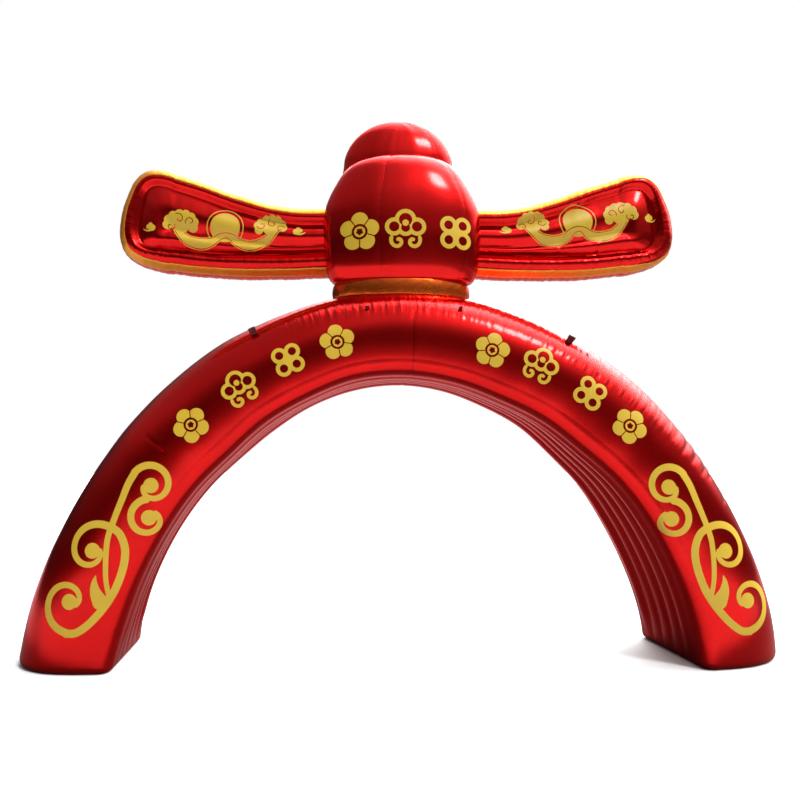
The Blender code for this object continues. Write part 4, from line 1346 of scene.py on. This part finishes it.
def make_camera():
    camera = bpy.data.cameras.new("camera")
    camera.sensor_width = SENSOR_WIDTH
    camera.lens = SENSOR_WIDTH * FOCAL_PIXELS / IMAGE_WIDTH
    camera.shift_x = (0.5 * IMAGE_WIDTH - CENTRE_PIXEL[0]) / IMAGE_WIDTH
    camera.shift_y = (CENTRE_PIXEL[1] - 0.5 * IMAGE_WIDTH) / IMAGE_WIDTH
    forward = Vector((
        math.sin(CAMERA_PAN) * math.cos(CAMERA_TILT),
        math.cos(CAMERA_PAN) * math.cos(CAMERA_TILT),
        math.sin(CAMERA_TILT),
    ))
    right = Vector((math.cos(CAMERA_PAN), -math.sin(CAMERA_PAN), 0.0))
    up = right.cross(forward)
    view = bpy.data.objects.new("camera", camera)
    turned = Matrix((right, up, -forward)).transposed().to_4x4()
    view.matrix_world = Matrix.Translation(CAMERA_PLACE) @ turned
    bpy.context.scene.collection.objects.link(view)
    bpy.context.scene.camera = view


def make_floor(material):
    mesh = bpy.data.meshes.new("floor")
    half, front, back = 40.0, -14.0, 60.0
    corners = [(-half, front, 0.0), (half, front, 0.0), (half, back, 0.0), (-half, back, 0.0)]
    mesh.from_pydata(corners, [], [(0, 1, 2, 3)])
    floor = bpy.data.objects.new("floor", mesh)
    bpy.context.scene.collection.objects.link(floor)
    floor.data.materials.append(material)


# Putting the scene together

make_camera()
studio_world()
sun_light((0.467, -0.504, 0.727), 2.4, 0.22)
area_light("back_fill", (2.0, 9.0, 8.0), (0.0, 0.0, 2.5), 6.0, 400.0)
bpy.context.scene.view_settings.view_transform = "Standard"
make_floor(floor_material())

red_cloth = cloth_material(
    "red_film_cloth", (0.66, 0.0015, 0.001, 1.0), (0.58, 0.001, 0.001, 1.0), 0.95, 0.20,
)
gold_cloth = cloth_material(
    "gold_film_cloth", (0.85, 0.38, 0.05, 1.0), (0.80, 0.30, 0.03, 1.0), 0.85, 0.46, 0.005,
)
# Collar: gold cloth with a base colour darker and redder than the edging's; the gold is its own colour, the
# rest is painted shade of its recess between hat and arch and painted reflection of the red cloth around it
collar_painted_shade = cloth_material(
    "gold_collar_painted_shade", (0.72, 0.12, 0.010, 1.0), (0.64, 0.09, 0.008, 1.0), 0.92, 0.28,
)
gold_print = print_material()
webbing = webbing_material()

arch = make_arch()
arch_tree, arch_smooth = tree_with_normals(arch)
finish_piece(arch, red_cloth, ("arch_tube",))

collar = finish_piece(make_collar(arch_tree), collar_painted_shade, ("hat_collar",))
hat_front = make_front_chamber()
hat_tree = tree_with_normals(hat_front)
finish_piece(hat_front, red_cloth, ("hat_front",))
hat_rear = finish_piece(make_rear_chamber(), red_cloth, ("hat_rear",))

for side in ("left", "right"):
    wing = make_wing(side)
    wing_tree = tree_with_normals(wing)
    finish_piece(wing, red_cloth, (f"wing_{side}",))
    trim = finish_piece(make_trim(side, wing_tree[0]), gold_cloth, (f"wing_trim_{side}",))
    sun = (-1.927, 4.600) if side == "left" else (1.960, 4.690)
    tilt = 0.0 if side == "left" else 4.0
    make_print(
        f"print_sky_{side}", [wing_tree], sky_shape, (-0.92, -0.27), (0.90, 0.34), 0.0045,
        turned(sun, tilt, 0.97, mirror=side == "right"), gold_print,
    )

arch_trees = [(arch_tree, arch_smooth)]
for side, centre, turn in (("left", on_front(158.0, 0.42), -22.0), ("right", on_front(21.1, 0.48), 22.0)):
    make_print(
        f"print_scroll_{side}", arch_trees, scroll_shape, (-0.47, -0.97), (0.47, 1.02), 0.0065,
        turned(centre, turn, 1.0, mirror=side == "right"), gold_print,
    )
for index, (degrees, share) in enumerate(ARCH_ORNAMENTS):
    make_print(
        f"print_ornament_{index + 1}", arch_trees, ORNAMENT_SHAPES[index % 4],
        (-0.21, -0.21), (0.21, 0.21), 0.005,
        turned(on_front(degrees, share), degrees - 90.0), gold_print,
    )
for index, centre in enumerate(HAT_ORNAMENTS):
    make_print(
        f"print_hat_{index + 1}", [hat_tree], ORNAMENT_SHAPES[index], (-0.21, -0.21), (0.21, 0.21), 0.005,
        turned(centre, 0.0, 1.15), gold_print,
    )

for row in TAB_ROWS:
    finish_piece(make_tab(row), webbing, (row.name,))
